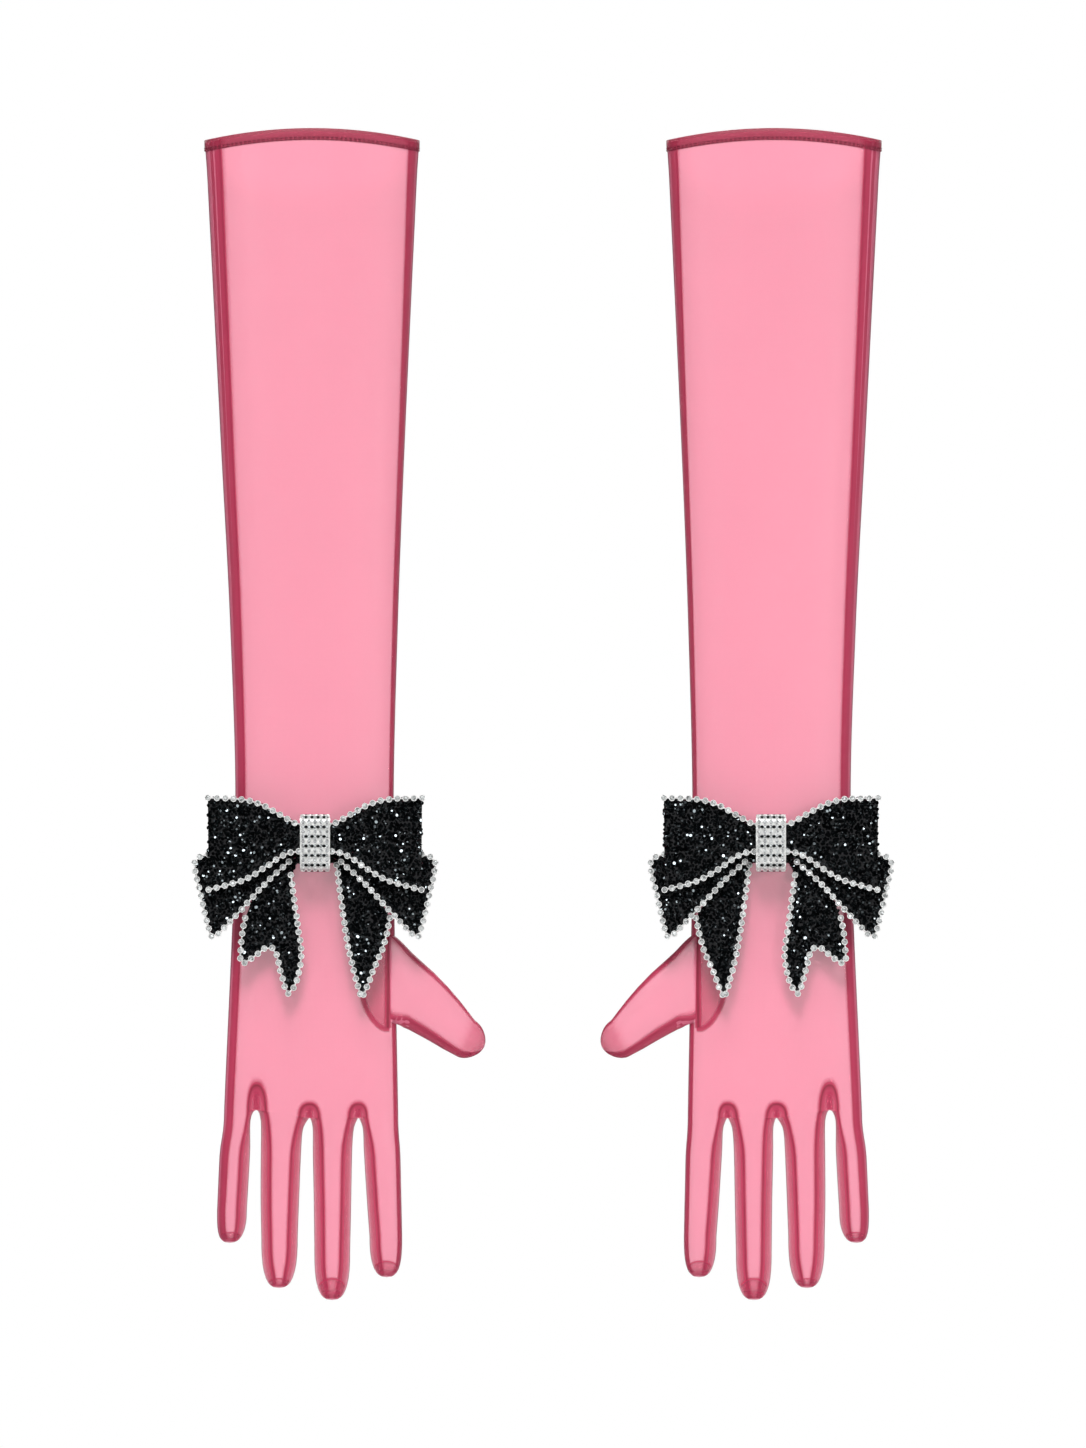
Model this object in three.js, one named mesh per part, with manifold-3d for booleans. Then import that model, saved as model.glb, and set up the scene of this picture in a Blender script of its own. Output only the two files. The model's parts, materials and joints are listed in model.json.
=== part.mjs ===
// A pair of sheer opera gloves, each with a stone-covered bow on the back of the wrist.
// Millimetres, +Z up. The gloves hang as worn: cuffs up, fingertips down, backs of the hands towards -Y.
// The origin is midway between the two gloves, level with the crown of the cuffs.
// The right glove is modelled about its own centre line, thumb towards +X. The left glove mirrors it.
import * as THREE from "three";
import { mergeVertices } from "three/addons/utils/BufferGeometryUtils.js";
import Module from "manifold-3d";

const wasm = await Module();
wasm.setup();

// ---- Driving dimensions ----

const PAIR_SPACING = 231; // centre line to centre line
const WALL = 1; // the cloth, thickened to a wall that can collide
const SEAM_GAP = 0.3; // between pieces that are sewn together
const FOLD_GAP = 0.8; // between pieces on the two sides of a fold

// Sections of the glove's tube, from the cuff to the knuckles. shift moves a section towards the thumb.
// square is the exponent of a section's superellipse: 2 is an ellipse, and more is squarer.
const CUFF = { z: 0, width: 107, depth: 36, shift: 0, square: 2.4 };
const ELBOW = { z: -160, width: 91.5, depth: 32, shift: 0.4, square: 2.4 };
const FOREARM = { z: -250, width: 83.5, depth: 28, shift: 1, square: 2.4 };
const WRIST = { z: -345, width: 79, depth: 24, shift: 1.2, square: 2.4 };
// The knuckles' width is that of the four fingers and the crotches between them.
const KNUCKLES = { z: -497, depth: 15, shift: -0.5, square: 3.4 };
const CUFF_CROWN = 6; // how far the cuff's edge drops from its middle to its sides
const HEM_HEIGHT = 5;
const HEM_PROUD = 0.4; // the hem is folded cloth, so it stands out from the sleeve
const WRIST_FOLD_Z = -386;

// Fingers, from the little finger to the index finger. lean counts towards the thumb.
// Fourchettes are the side strips: the inner one is on the thumb's side of its finger.
const CROTCH_WIDTH = 4.5; // between two fingers
const FINGERS = {
  little: { base: 14.6, tip: 14, depth: 12, length: 60.5, lean: -4.4, fourchettes: ["inner"] },
  ring: { base: 20.5, tip: 18, depth: 13, length: 82.5, lean: -1.3, fourchettes: ["inner", "outer"] },
  middle: { base: 20, tip: 17.6, depth: 13.5, length: 89, lean: -0.4, fourchettes: ["inner", "outer"] },
  index: { base: 18.5, tip: 16, depth: 13, length: 77, lean: 2.9, fourchettes: ["outer"] },
};
const TIP_DEPTH = 11.5; // of a finger just above its rounded tip
const FOURCHETTE_SHARE = 0.66; // of a finger's depth
const TIP_SEAM = 11; // where a fourchette ends, above the fingertip
const WEB_DEPTH_GAP = 0.4; // between the web of a crotch and the back of the hand

// Thumb. Its upper and lower edges run from its root on the side of the hand, across and down to its end.
const THUMB = {
  top: -404,
  bottom: -447,
  upperRun: [37.3, -38],
  lowerRun: [30.3, -15.5],
  tipRun: [11, -6.8],
  baseDepth: 14,
  tipDepth: 13,
};
const THUMB_HOLE_RIM = 3; // cloth left inside the thumb's root, above and below the hole in the hand
const THUMB_HOLE_DEPTH = 11;

// Bow. Its outlines lie in the XZ plane about the middle of the knot, drawn on the +X side.
const BOW = { x: 1.5, z: -357.5 };
const FELT = { width: 42, height: 20, corner: 8, thickness: 1.5 };
const KNOT = { width: 15, height: 27, band: 1.7, corner: 3 };
const CHAIN = { width: 2.2, height: 1.8 };
const TAIL_THICKNESS = 2.2;
const LOWER_LOOP_THICKNESS = 2.8;
const UPPER_LOOP_THICKNESS = 4.4;
const WAIST_GAP = 0.8; // between a pair of loops, inside the knot

// Edges of the ribbons, from the knot outwards.
const UPPER_TOP = [[16, 13.4], [26, 18.8], [36, 21.8], [53.6, 22.6]];
const UPPER_BOTTOM = [[16, -6.2], [25, -12.2], [36, -18.6], [53.2, -23.4]];
const UPPER_WAIST_DROP = 4.2; // from the knot's middle to the lower edge of the upper loops
const LOWER_TOP = [[7, -3.4], [57.5, -6.5]];
const LOWER_SIDE = [[60.2, -9.5], [57.2, -26], [52.6, -44.6]];
const LOWER_BOTTOM = [[49.6, -46.4], [39.5, -36.2], [24, -19.4], [13, -9.4]];
const LOWER_WAIST_DROP = 7.2; // from the knot's middle to the lower edge of the lower loops
const POINTED_NEAR = [[10.8, -11], [13, -28], [17, -54], [22.6, -75.4]];
const POINTED_FAR = [[24.6, -75.2], [29.6, -62.6], [34.4, -51], [37.6, -37.5]];
const FORKED_NEAR = [[12, -16], [8.8, -40], [6.8, -55], [8.8, -68], [12.4, -74.6]];
const FORKED_NOTCH = [[14.4, -74], [17.4, -63.6], [20, -54], [24.4, -52.4], [30.5, -57], [35.6, -60]];
const FORKED_FAR = [[37.4, -58.4], [36.6, -47], [35, -37.5]];

// ---- Shared shapes ----

const RING_POINTS = 20;
const FINGER_POINTS = 12;

const bases = Object.values(FINGERS).map((finger) => finger.base);
const knucklesWidth = bases.reduce((sum, base) => sum + base, 0) + (bases.length - 1) * CROTCH_WIDTH;
const sections = [CUFF, ELBOW, FOREARM, WRIST, { ...KNUCKLES, width: knucklesWidth }];

/** The middles of the fingers across the hand, in the order of FINGERS. */
const fingerMiddles = bases.map((base, i) => {
  const before = bases.slice(0, i).reduce((sum, other) => sum + other + CROTCH_WIDTH, 0);
  return KNUCKLES.shift - knucklesWidth / 2 + before + base / 2;
});

/** A smooth value between the sections, from its values at them. */
function sectionValue(key, z) {
  const at = sections.map((s) => s.z);
  const values = sections.map((s) => s[key]);
  const last = at.length - 1;
  let i = at.findIndex((level, k) => k < last && z >= at[k + 1]);
  if (i < 0) i = last - 1;
  const slope = (k) => {
    const a = Math.max(k - 1, 0);
    const b = Math.min(k + 1, last);
    return (values[b] - values[a]) / (at[b] - at[a]);
  };
  const span = at[i + 1] - at[i];
  const t = (z - at[i]) / span;
  const t2 = t * t;
  const t3 = t2 * t;
  return (
    (2 * t3 - 3 * t2 + 1) * values[i] +
    (t3 - 2 * t2 + t) * span * slope(i) +
    (3 * t2 - 2 * t3) * values[i + 1] +
    (t3 - t2) * span * slope(i + 1)
  );
}

function section(z) {
  return {
    shift: sectionValue("shift", z),
    halfWidth: sectionValue("width", z) / 2,
    halfDepth: sectionValue("depth", z) / 2,
    square: sectionValue("square", z),
  };
}

/** A point of a superellipse at an angle, as shares of its two half sizes. */
function superellipse(angle, exponent) {
  const power = (v) => Math.sign(v) * Math.abs(v) ** (2 / exponent);
  return [power(Math.cos(angle)), power(Math.sin(angle))];
}

/** How far the cuff's edge has dropped at a point across the glove, as a share of the half width. */
const cuffDrop = (share) => -CUFF_CROWN * share * share;

/** A ring of the glove's tube, grown outwards by grow. crowned bends the ring as the cuff's edge is bent. */
function tubeRing(z, grow, crowned) {
  const { shift, halfWidth, halfDepth, square } = section(z);
  return Array.from({ length: RING_POINTS }, (_, i) => {
    const [u, v] = superellipse((2 * Math.PI * i) / RING_POINTS, square);
    const level = z + (crowned ? cuffDrop(u) : 0);
    return new THREE.Vector3(shift + u * (halfWidth + grow), v * (halfDepth + grow), level);
  });
}

/** A closed wall between outer and inner rings. With apexes it is a finger, closed at its far end. */
function wallGeometry(outer, inner, apexes) {
  const points = [...outer.flat(), ...inner.flat(), ...(apexes ?? [])];
  const count = outer[0].length;
  const faces = [];
  const skin = (first, rings, facing) => {
    for (let r = 0; r + 1 < rings; r++) {
      for (let i = 0; i < count; i++) {
        const j = (i + 1) % count;
        const near = first + r * count;
        const far = near + count;
        quad(faces, near + i, far + i, far + j, near + j, facing);
      }
    }
  };
  const innerFirst = outer.length * count;
  const outerLast = innerFirst - count;
  const innerLast = innerFirst + (inner.length - 1) * count;
  skin(0, outer.length, 1);
  skin(innerFirst, inner.length, -1);
  const apex = innerFirst + inner.length * count;
  for (let i = 0; i < count; i++) {
    const j = (i + 1) % count;
    quad(faces, i, j, innerFirst + j, innerFirst + i, 1);
    if (apexes) {
      faces.push(outerLast + i, apex, outerLast + j);
      faces.push(innerLast + i, innerLast + j, apex + 1);
    } else {
      quad(faces, outerLast + i, outerLast + j, innerLast + j, innerLast + i, -1);
    }
  }
  const geometry = new THREE.BufferGeometry().setFromPoints(points);
  geometry.setIndex(faces);
  return geometry;
}

function quad(faces, a, b, c, d, facing) {
  if (facing > 0) faces.push(a, b, c, a, c, d);
  else faces.push(a, c, b, a, d, c);
}

/** The solid of a closed geometry. */
function solid(geometry) {
  const bare = geometry.index ? geometry.toNonIndexed() : geometry.clone();
  bare.deleteAttribute("normal");
  bare.deleteAttribute("uv");
  const merged = mergeVertices(bare, 1e-4);
  return new wasm.Manifold(
    new wasm.Mesh({
      numProp: 3,
      vertProperties: merged.attributes.position.array,
      triVerts: new Uint32Array(merged.index.array),
    }),
  );
}

/** The geometry of a solid. */
function geometryOf(made) {
  const mesh = made.getMesh();
  const geometry = new THREE.BufferGeometry();
  geometry.setAttribute("position", new THREE.BufferAttribute(mesh.vertProperties, 3));
  geometry.setIndex(new THREE.BufferAttribute(mesh.triVerts, 1));
  geometry.computeVertexNormals();
  return geometry;
}

/** A box between two corners. */
function boxSolid(low, high) {
  const size = high.map((v, i) => v - low[i]);
  const middle = high.map((v, i) => (v + low[i]) / 2);
  return solid(new THREE.BoxGeometry(...size).translate(...middle));
}

// ---- Materials ----

const sheer = new THREE.MeshStandardMaterial({
  color: 0xf58fae,
  roughness: 0.55,
  transparent: true,
  opacity: 0.6,
  side: THREE.DoubleSide,
});
const hemCloth = new THREE.MeshStandardMaterial({ color: 0xb3324f, roughness: 0.6 });
const blackStones = new THREE.MeshStandardMaterial({ color: 0x0b0c0e, roughness: 0.25, metalness: 0.1 });
const blackFelt = new THREE.MeshStandardMaterial({ color: 0x111112, roughness: 0.95 });
const crystal = new THREE.MeshStandardMaterial({ color: 0xd9dcda, roughness: 0.15, metalness: 0.9 });

function named(name, geometry, material) {
  const mesh = new THREE.Mesh(geometry, material);
  mesh.name = name;
  return mesh;
}

// ---- Sleeve and hand ----

/** A stretch of the glove's tube between two levels. */
function tubeStretch(levels, grow = 0, crownedTop = false) {
  const outer = levels.map((z, i) => tubeRing(z, grow, crownedTop && i === 0));
  const inner = levels.map((z, i) => tubeRing(z, -WALL, crownedTop && i === 0));
  return wallGeometry(outer, inner);
}

function cuffHem(side) {
  const levels = [CUFF.z, CUFF.z - HEM_HEIGHT];
  const outer = levels.map((z) => tubeRing(z, HEM_PROUD, true));
  const inner = levels.map((z) => tubeRing(z, -WALL - HEM_PROUD, true));
  return named(side + "_cuff_hem", wallGeometry(outer, inner), hemCloth);
}

function upperSleeve(side) {
  const top = CUFF.z - HEM_HEIGHT - SEAM_GAP;
  const bottom = ELBOW.z + FOLD_GAP / 2;
  const levels = [top, top - 4 * CUFF_CROWN, (top + bottom) / 2, bottom];
  return named(side + "_upper_sleeve", tubeStretch(levels, 0, true), sheer);
}

function forearmSleeve(side) {
  const top = ELBOW.z - FOLD_GAP / 2;
  const bottom = WRIST_FOLD_Z + FOLD_GAP / 2;
  const levels = [0, 0.25, 0.5, 0.75, 1].map((t) => top + (bottom - top) * t);
  return named(side + "_forearm_sleeve", tubeStretch(levels), sheer);
}

/** The webs: strips of cloth that close the glove between two fingers, where their fourchettes meet. */
function websBetweenFingers(bottom) {
  return fingerMiddles.slice(1).map((middle, i) => {
    const right = middle - bases[i + 1] / 2;
    const left = right - CROTCH_WIDTH;
    const reach = Math.min(halfDepthAt(left, bottom), halfDepthAt(right, bottom)) - WALL;
    return boxSolid([left, WEB_DEPTH_GAP - reach, bottom], [right, reach + WALL / 2, bottom + WALL]);
  });
}

/** Half the tube's depth at a distance across it. */
function halfDepthAt(x, z) {
  const { shift, halfWidth, halfDepth, square } = section(z);
  const share = Math.min(Math.abs(x - shift) / halfWidth, 1);
  return halfDepth * (1 - share ** square) ** (1 / square);
}

/** Where the tube's thumb side is, at a distance in front of or behind the middle. */
function thumbSideAt(y, z) {
  const { shift, halfWidth, halfDepth, square } = section(z);
  const share = Math.min(Math.abs(y) / halfDepth, 1);
  return shift + halfWidth * (1 - share ** square) ** (1 / square);
}

/** The levels of the hand's rings, from the wrist to the knuckles. */
function handLevels() {
  const top = WRIST_FOLD_Z - FOLD_GAP / 2;
  const bottom = KNUCKLES.z + FOLD_GAP / 2;
  return [0, 1 / 3, 2 / 3, 1].map((t) => top + (bottom - top) * t);
}

/** The back and the palm of the hand: the tube below the wrist, open where the thumb goes in. */
function handPanels(side) {
  const levels = handLevels();
  const [top] = levels;
  const bottom = levels.at(-1);
  const farOut = CUFF.width;
  const half = THUMB_HOLE_DEPTH / 2;
  const hole = boxSolid(
    [0, -half, THUMB.bottom + THUMB_HOLE_RIM],
    [farOut, half, THUMB.top - THUMB_HOLE_RIM],
  );
  const tube = solid(tubeStretch(levels)).subtract(hole);
  const slice = (from, to) => boxSolid([-farOut, from, bottom - 1], [farOut, to, top + 1]);
  const back = tube.intersect(slice(-CUFF.depth, -SEAM_GAP / 2));
  const palm = websBetweenFingers(bottom).reduce(
    (made, web) => made.add(web),
    tube.intersect(slice(SEAM_GAP / 2, CUFF.depth)),
  );
  return [
    named(side + "_hand_back", geometryOf(back), sheer),
    named(side + "_hand_palm", geometryOf(palm), sheer),
  ];
}

// ---- Fingers and thumb ----

/** A ring of points about a middle, from two half axes. */
function ovalRing(middle, across, through) {
  return Array.from({ length: FINGER_POINTS }, (_, i) => {
    const angle = (2 * Math.PI * i) / FINGER_POINTS;
    return middle
      .clone()
      .addScaledVector(across, Math.cos(angle))
      .addScaledVector(through, Math.sin(angle));
  });
}

/** Angles of the rings that round off a tip. */
const TIP_ANGLES = [0, Math.PI / 6, Math.PI / 3];

/** A finger of the glove, hanging from its own origin at the knuckle, closed at its tip. */
function fingerTube(finger) {
  const round = finger.tip / 2;
  const straight = finger.length - round;
  const rings = (wall) => {
    const at = (down, width, depth) =>
      ovalRing(
        new THREE.Vector3(0, 0, -down),
        new THREE.Vector3(width / 2 - wall, 0, 0),
        new THREE.Vector3(0, depth / 2 - wall, 0),
      );
    const tipDepth = Math.min(TIP_DEPTH, finger.depth);
    return [
      at(FOLD_GAP / 2, finger.base, finger.depth),
      at(straight / 2, (finger.base + finger.tip) / 2, finger.depth),
      ...TIP_ANGLES.map((angle) => {
        const less = Math.cos(angle);
        const down = straight + (round - wall) * Math.sin(angle);
        return at(down, (finger.tip - 2 * wall) * less + 2 * wall, (tipDepth - 2 * wall) * less + 2 * wall);
      }),
    ];
  };
  const apexes = [0, WALL].map((wall) => new THREE.Vector3(0, 0, wall - finger.length));
  return wallGeometry(rings(0), rings(WALL), apexes);
}

/** A finger's back and palm as one piece, with its fourchettes let into its sides. */
function fingerPieces(side, name, finger, middle) {
  const group = new THREE.Group();
  group.position.set(middle, 0, KNUCKLES.z);
  group.rotation.y = THREE.MathUtils.degToRad(-finger.lean);
  const tube = solid(fingerTube(finger));
  const half = (finger.depth * FOURCHETTE_SHARE) / 2;
  const foot = TIP_SEAM - finger.length;
  let shell = tube;
  for (const place of finger.fourchettes) {
    const way = place === "inner" ? 1 : -1;
    const slab = (grow) => {
      const far = way * finger.base;
      return boxSolid([Math.min(0, far), -half - grow, foot - grow], [Math.max(0, far), half + grow, 1]);
    };
    const strip = tube.intersect(slab(0));
    shell = shell.subtract(slab(SEAM_GAP));
    group.add(named(`${side}_${name}_fourchette_${place}`, geometryOf(strip), sheer));
  }
  group.add(named(`${side}_${name}_finger`, geometryOf(shell), sheer));
  return group;
}

/** The thumb, which is set into the side of the hand and closed at its tip. */
function thumb(side) {
  const { top, bottom, baseDepth, tipDepth } = THUMB;
  const rootMiddle = (top + bottom) / 2;
  const rootX = thumbSideAt(0, rootMiddle);
  const along = (z, [across, down], t) => new THREE.Vector3(rootX + across * t, 0, z + down * t);
  const rings = (wall) => {
    const at = (t, depth) => {
      const upper = along(top, THUMB.upperRun, t);
      const lower = along(bottom, THUMB.lowerRun, t);
      const across = upper.clone().sub(lower).multiplyScalar(0.5);
      across.setLength(across.length() - wall);
      return [upper.add(lower).multiplyScalar(0.5), across, new THREE.Vector3(0, depth / 2 - wall, 0)];
    };
    // The root starts inside the hand's wall, and is then cut back to its seam.
    const seated = ovalRing(...at(0, baseDepth)).map((p) => p.setX(thumbSideAt(p.y, p.z) - WALL / 2));
    const [endMiddle, across, through] = at(1, tipDepth);
    const reach = new THREE.Vector3(THUMB.tipRun[0], 0, THUMB.tipRun[1]);
    reach.setLength(reach.length() - wall);
    const tipRings = TIP_ANGLES.map((angle) => {
      const share = Math.cos(angle);
      const middle = endMiddle.clone().addScaledVector(reach, Math.sin(angle));
      return ovalRing(middle, across.clone().multiplyScalar(share), through.clone().multiplyScalar(share));
    });
    const made = [seated, ovalRing(...at(0.35, baseDepth)), ovalRing(...at(0.7, tipDepth)), ...tipRings];
    return { made, apex: endMiddle.clone().add(reach) };
  };
  const outer = rings(0);
  const inner = rings(WALL);
  const whole = solid(wallGeometry(outer.made, inner.made, [outer.apex, inner.apex]));
  const made = whole.subtract(solid(tubeStretch(handLevels(), SEAM_GAP)));
  return named(side + "_thumb", geometryOf(made), sheer);
}

// ---- Bow ----

const vectors = (points) => points.map(([x, z]) => new THREE.Vector2(x, z));
const mirrored = (points, way) => points.map(([x, z]) => [way * x, z]);

/** An outline made of smooth edges, joined by straight lines where they don't meet. */
function outline(edges) {
  const [first] = edges[0];
  const shape = new THREE.Shape().moveTo(...first);
  edges.forEach((edge, i) => {
    if (i) shape.lineTo(...edge[0]);
    if (edge.length > 2) shape.splineThru(vectors(edge.slice(1)));
    else edge.slice(1).forEach((p) => shape.lineTo(...p));
  });
  return shape.closePath();
}

/** A flat piece in the XZ plane, from its back face towards -Y. */
function plate(shape, back, thickness) {
  const settings = { depth: thickness, bevelEnabled: false, curveSegments: 2 };
  const geometry = new THREE.ExtrudeGeometry(shape, settings);
  return geometry.rotateX(Math.PI / 2).translate(0, back, 0);
}

/** A chain of set stones, as the strip that it fills, along points in the XZ plane. */
function chain(name, points, back, steps) {
  const path = new THREE.CatmullRomCurve3(
    points.map(([x, z]) => new THREE.Vector3(x, back - CHAIN.height / 2, z)),
    false,
    "catmullrom",
    0.5,
  );
  const half = [CHAIN.height / 2, CHAIN.width / 2];
  const shape = new THREE.Shape().moveTo(-half[0], -half[1]);
  shape.lineTo(half[0], -half[1]).lineTo(half[0], half[1]).lineTo(-half[0], half[1]);
  const geometry = new THREE.ExtrudeGeometry(shape.closePath(), { steps, extrudePath: path });
  return named(name, geometry, crystal);
}

/** A rectangle with round corners about the origin. */
function roundedRectangle(width, height, corner) {
  const [x, y] = [width / 2, height / 2];
  const path = new THREE.Shape().moveTo(x, y - corner);
  path.absarc(x - corner, y - corner, corner, 0, Math.PI / 2);
  path.absarc(corner - x, y - corner, corner, Math.PI / 2, Math.PI);
  path.absarc(corner - x, corner - y, corner, Math.PI, 1.5 * Math.PI);
  path.absarc(x - corner, corner - y, corner, 1.5 * Math.PI, 2 * Math.PI);
  return path;
}

/** The band of stones round the bow's waist, open to both sides, from its back face to its front face. */
function knotBand(back, front) {
  const depth = back - front;
  const band = roundedRectangle(depth, KNOT.height, KNOT.corner);
  const inner = KNOT.corner - KNOT.band;
  band.holes.push(roundedRectangle(depth - 2 * KNOT.band, KNOT.height - 2 * KNOT.band, inner));
  const settings = { depth: KNOT.width, bevelEnabled: false, curveSegments: 4 };
  const geometry = new THREE.ExtrudeGeometry(band, settings);
  geometry.translate(0, 0, -KNOT.width / 2);
  geometry.rotateX(Math.PI / 2).rotateZ(Math.PI / 2);
  return geometry.translate(0, (back + front) / 2, 0);
}

/** The bow: felt, tails, lower loops and upper loops in layers, held by the knot and edged with chains. */
function bow(side) {
  const group = new THREE.Group();
  // The sleeve tapers, so the felt rests where it is deepest behind the bow.
  const behind = [BOW.z - FELT.height / 2, BOW.z, BOW.z + FELT.height / 2];
  group.position.set(BOW.x, -Math.max(...behind.map((z) => section(z).halfDepth)), BOW.z);
  const name = (piece) => `${side}_bow_${piece}`;
  const waist = WAIST_GAP / 2;
  const inside = KNOT.height / 2 - KNOT.band - SEAM_GAP; // half the height of the space in the knot
  const pinch = KNOT.width / 2 + SEAM_GAP; // where the ribbons leave the knot
  const upperTop = [[pinch, KNOT.height / 2 - KNOT.corner - CHAIN.width / 2], ...UPPER_TOP];
  const upperBottom = [[pinch, -UPPER_WAIST_DROP], ...UPPER_BOTTOM];

  let front = -SEAM_GAP;
  const layer = (thickness) => {
    const back = front;
    front = back - thickness - SEAM_GAP;
    return back;
  };
  const feltBack = layer(FELT.thickness);
  const knotBack = layer(KNOT.band);
  const tailBack = layer(TAIL_THICKNESS);
  const lowerBack = layer(LOWER_LOOP_THICKNESS);
  const lowerFace = front;
  const upperBack = layer(UPPER_LOOP_THICKNESS);
  const upperFace = layer(CHAIN.height);
  const knotFront = front - KNOT.band;
  const tailFace = lowerBack;

  const feltOutline = roundedRectangle(FELT.width, FELT.height, FELT.corner);
  group.add(named(name("felt"), plate(feltOutline, feltBack, FELT.thickness), blackFelt));
  group.add(named(name("knot"), knotBand(knotBack, knotFront), crystal));

  for (const [place, way] of [
    ["inner", 1],
    ["outer", -1],
  ]) {
    const onSide = (points) => mirrored(points, way);
    const upper = outline([
      onSide([[waist, upperTop[0][1]], ...upperTop]),
      onSide([[waist, -UPPER_WAIST_DROP], ...upperBottom]).reverse(),
    ]);
    const upperLoop = plate(upper, upperBack, UPPER_LOOP_THICKNESS);
    group.add(named(name("upper_loop_" + place), upperLoop, blackStones));

    const lower = outline([
      onSide([[waist, LOWER_TOP[0][1]], ...LOWER_TOP]),
      onSide(LOWER_SIDE),
      onSide(LOWER_BOTTOM),
      onSide([[pinch, -LOWER_WAIST_DROP], [waist, -LOWER_WAIST_DROP]]),
    ]);
    const lowerLoop = plate(lower, lowerBack, LOWER_LOOP_THICKNESS);
    group.add(named(name("lower_loop_" + place), lowerLoop, blackStones));
    const lowerEdge = onSide([...LOWER_SIDE, ...LOWER_BOTTOM]);
    group.add(chain(name("lower_chain_" + place), lowerEdge, lowerFace, 26));
  }

  // The tails meet in the knot, behind the loops.
  const hidden = [[28, -20], [14, -6], [waist, -3], [waist, 2 - inside], [pinch + 1, 1.5 - inside]];
  const pointed = [...POINTED_NEAR, ...POINTED_FAR];
  const tailInner = outline([POINTED_NEAR, POINTED_FAR, ...hidden.map((p) => [p])]);
  group.add(named(name("tail_inner"), plate(tailInner, tailBack, TAIL_THICKNESS), blackStones));
  group.add(chain(name("tail_chain_inner"), pointed, tailFace, 26));

  const forkedEdges = [FORKED_NEAR, FORKED_NOTCH, FORKED_FAR].map((edge) => mirrored(edge, -1));
  const tailOuter = outline([...forkedEdges, ...mirrored(hidden, -1).map((p) => [p])]);
  group.add(named(name("tail_outer"), plate(tailOuter, tailBack, TAIL_THICKNESS), blackStones));
  group.add(chain(name("tail_chain_outer"), forkedEdges.flat(), tailFace, 34));

  const across = (edge) => [...mirrored(edge, -1).reverse(), ...edge];
  group.add(chain(name("upper_chain_top"), across(upperTop), upperFace, 22));
  group.add(chain(name("upper_chain_bottom"), across(upperBottom), upperFace, 22));
  return group;
}

// ---- The pair ----

function glove(side) {
  const group = new THREE.Group();
  group.add(cuffHem(side), upperSleeve(side), forearmSleeve(side), ...handPanels(side), thumb(side));
  Object.entries(FINGERS).forEach(([name, finger], i) => {
    group.add(fingerPieces(side, name, finger, fingerMiddles[i]));
  });
  group.add(bow(side));
  return group;
}

const right = glove("right");
right.position.x = -PAIR_SPACING / 2;
const left = glove("left");
left.position.x = PAIR_SPACING / 2;
left.scale.x = -1;

const gloves = new THREE.Group();
gloves.add(right, left);
export default gloves;
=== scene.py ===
"""A pair of sheer opera gloves with stone-covered bows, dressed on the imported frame.

Lengths in the classes are millimetres in one glove's own frame: x across the hand from the glove's centre line
towards the thumb, y towards the palm, z up from the crown of the cuff. Meshes are in metres, in the row frame.
"""

import json
import logging
import math
import random
from dataclasses import dataclass, field
from enum import Enum
from typing import Callable, Sequence

import bmesh
import bpy
from mathutils import Matrix, Vector
from mathutils.bvhtree import BVHTree

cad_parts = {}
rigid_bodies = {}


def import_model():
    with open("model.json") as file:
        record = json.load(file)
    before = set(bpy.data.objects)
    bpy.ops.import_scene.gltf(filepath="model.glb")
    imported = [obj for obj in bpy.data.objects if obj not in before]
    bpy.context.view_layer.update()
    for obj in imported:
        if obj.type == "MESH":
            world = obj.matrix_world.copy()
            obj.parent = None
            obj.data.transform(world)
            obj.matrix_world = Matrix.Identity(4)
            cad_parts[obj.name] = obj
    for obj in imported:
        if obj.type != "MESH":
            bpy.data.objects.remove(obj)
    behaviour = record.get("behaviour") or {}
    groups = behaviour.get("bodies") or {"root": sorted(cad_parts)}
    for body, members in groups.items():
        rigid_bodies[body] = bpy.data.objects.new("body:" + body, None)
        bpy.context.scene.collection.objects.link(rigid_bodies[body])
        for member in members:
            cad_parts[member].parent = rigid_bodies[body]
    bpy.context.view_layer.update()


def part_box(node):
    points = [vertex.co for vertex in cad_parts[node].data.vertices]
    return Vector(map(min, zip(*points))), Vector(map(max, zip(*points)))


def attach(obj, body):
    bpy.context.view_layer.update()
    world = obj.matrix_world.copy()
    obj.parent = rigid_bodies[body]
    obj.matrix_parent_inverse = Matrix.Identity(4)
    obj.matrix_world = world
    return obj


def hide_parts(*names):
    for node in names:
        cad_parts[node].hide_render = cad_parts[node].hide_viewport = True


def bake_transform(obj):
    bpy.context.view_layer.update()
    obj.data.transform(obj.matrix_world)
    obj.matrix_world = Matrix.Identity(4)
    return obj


LOG = logging.getLogger("gloves")
MM = 0.001
LEAST = 0.05  # the least half width of a rounded tip

Row = list[Vector]
Colour = tuple[float, float, float]


# ---------------------------------------------------------------- shared helpers


class Side(Enum):
    """Which hand a glove is for. The value turns a glove's own x into the row's x."""

    RIGHT = 1
    LEFT = -1

    def piece(self, name: str) -> str:
        """Returns the full name of one of this glove's pieces, nodes or bodies."""
        return f"{self.name.lower()}_{name}"


class Face(Enum):
    """The two faces of a glove. The value is the way that the face looks along y."""

    BACK = -1
    PALM = 1


def smooth(t: float) -> float:
    """Returns a smooth step from 0 to 1 as t goes from 0 to 1."""
    t = min(max(t, 0.0), 1.0)
    return t * t * (3 - 2 * t)


def quarter(t: float) -> float:
    """Returns the height of a quarter circle, which leaves 0 steeply and reaches 1 flat."""
    t = min(max(t, 0.0), 1.0)
    return math.sqrt(1 - (1 - t) ** 2)


def spread(low: float, high: float, count: int) -> list[float]:
    """Returns count values evenly spread from low to high, both included."""
    return [low + (high - low) * i / (count - 1) for i in range(count)]


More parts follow.
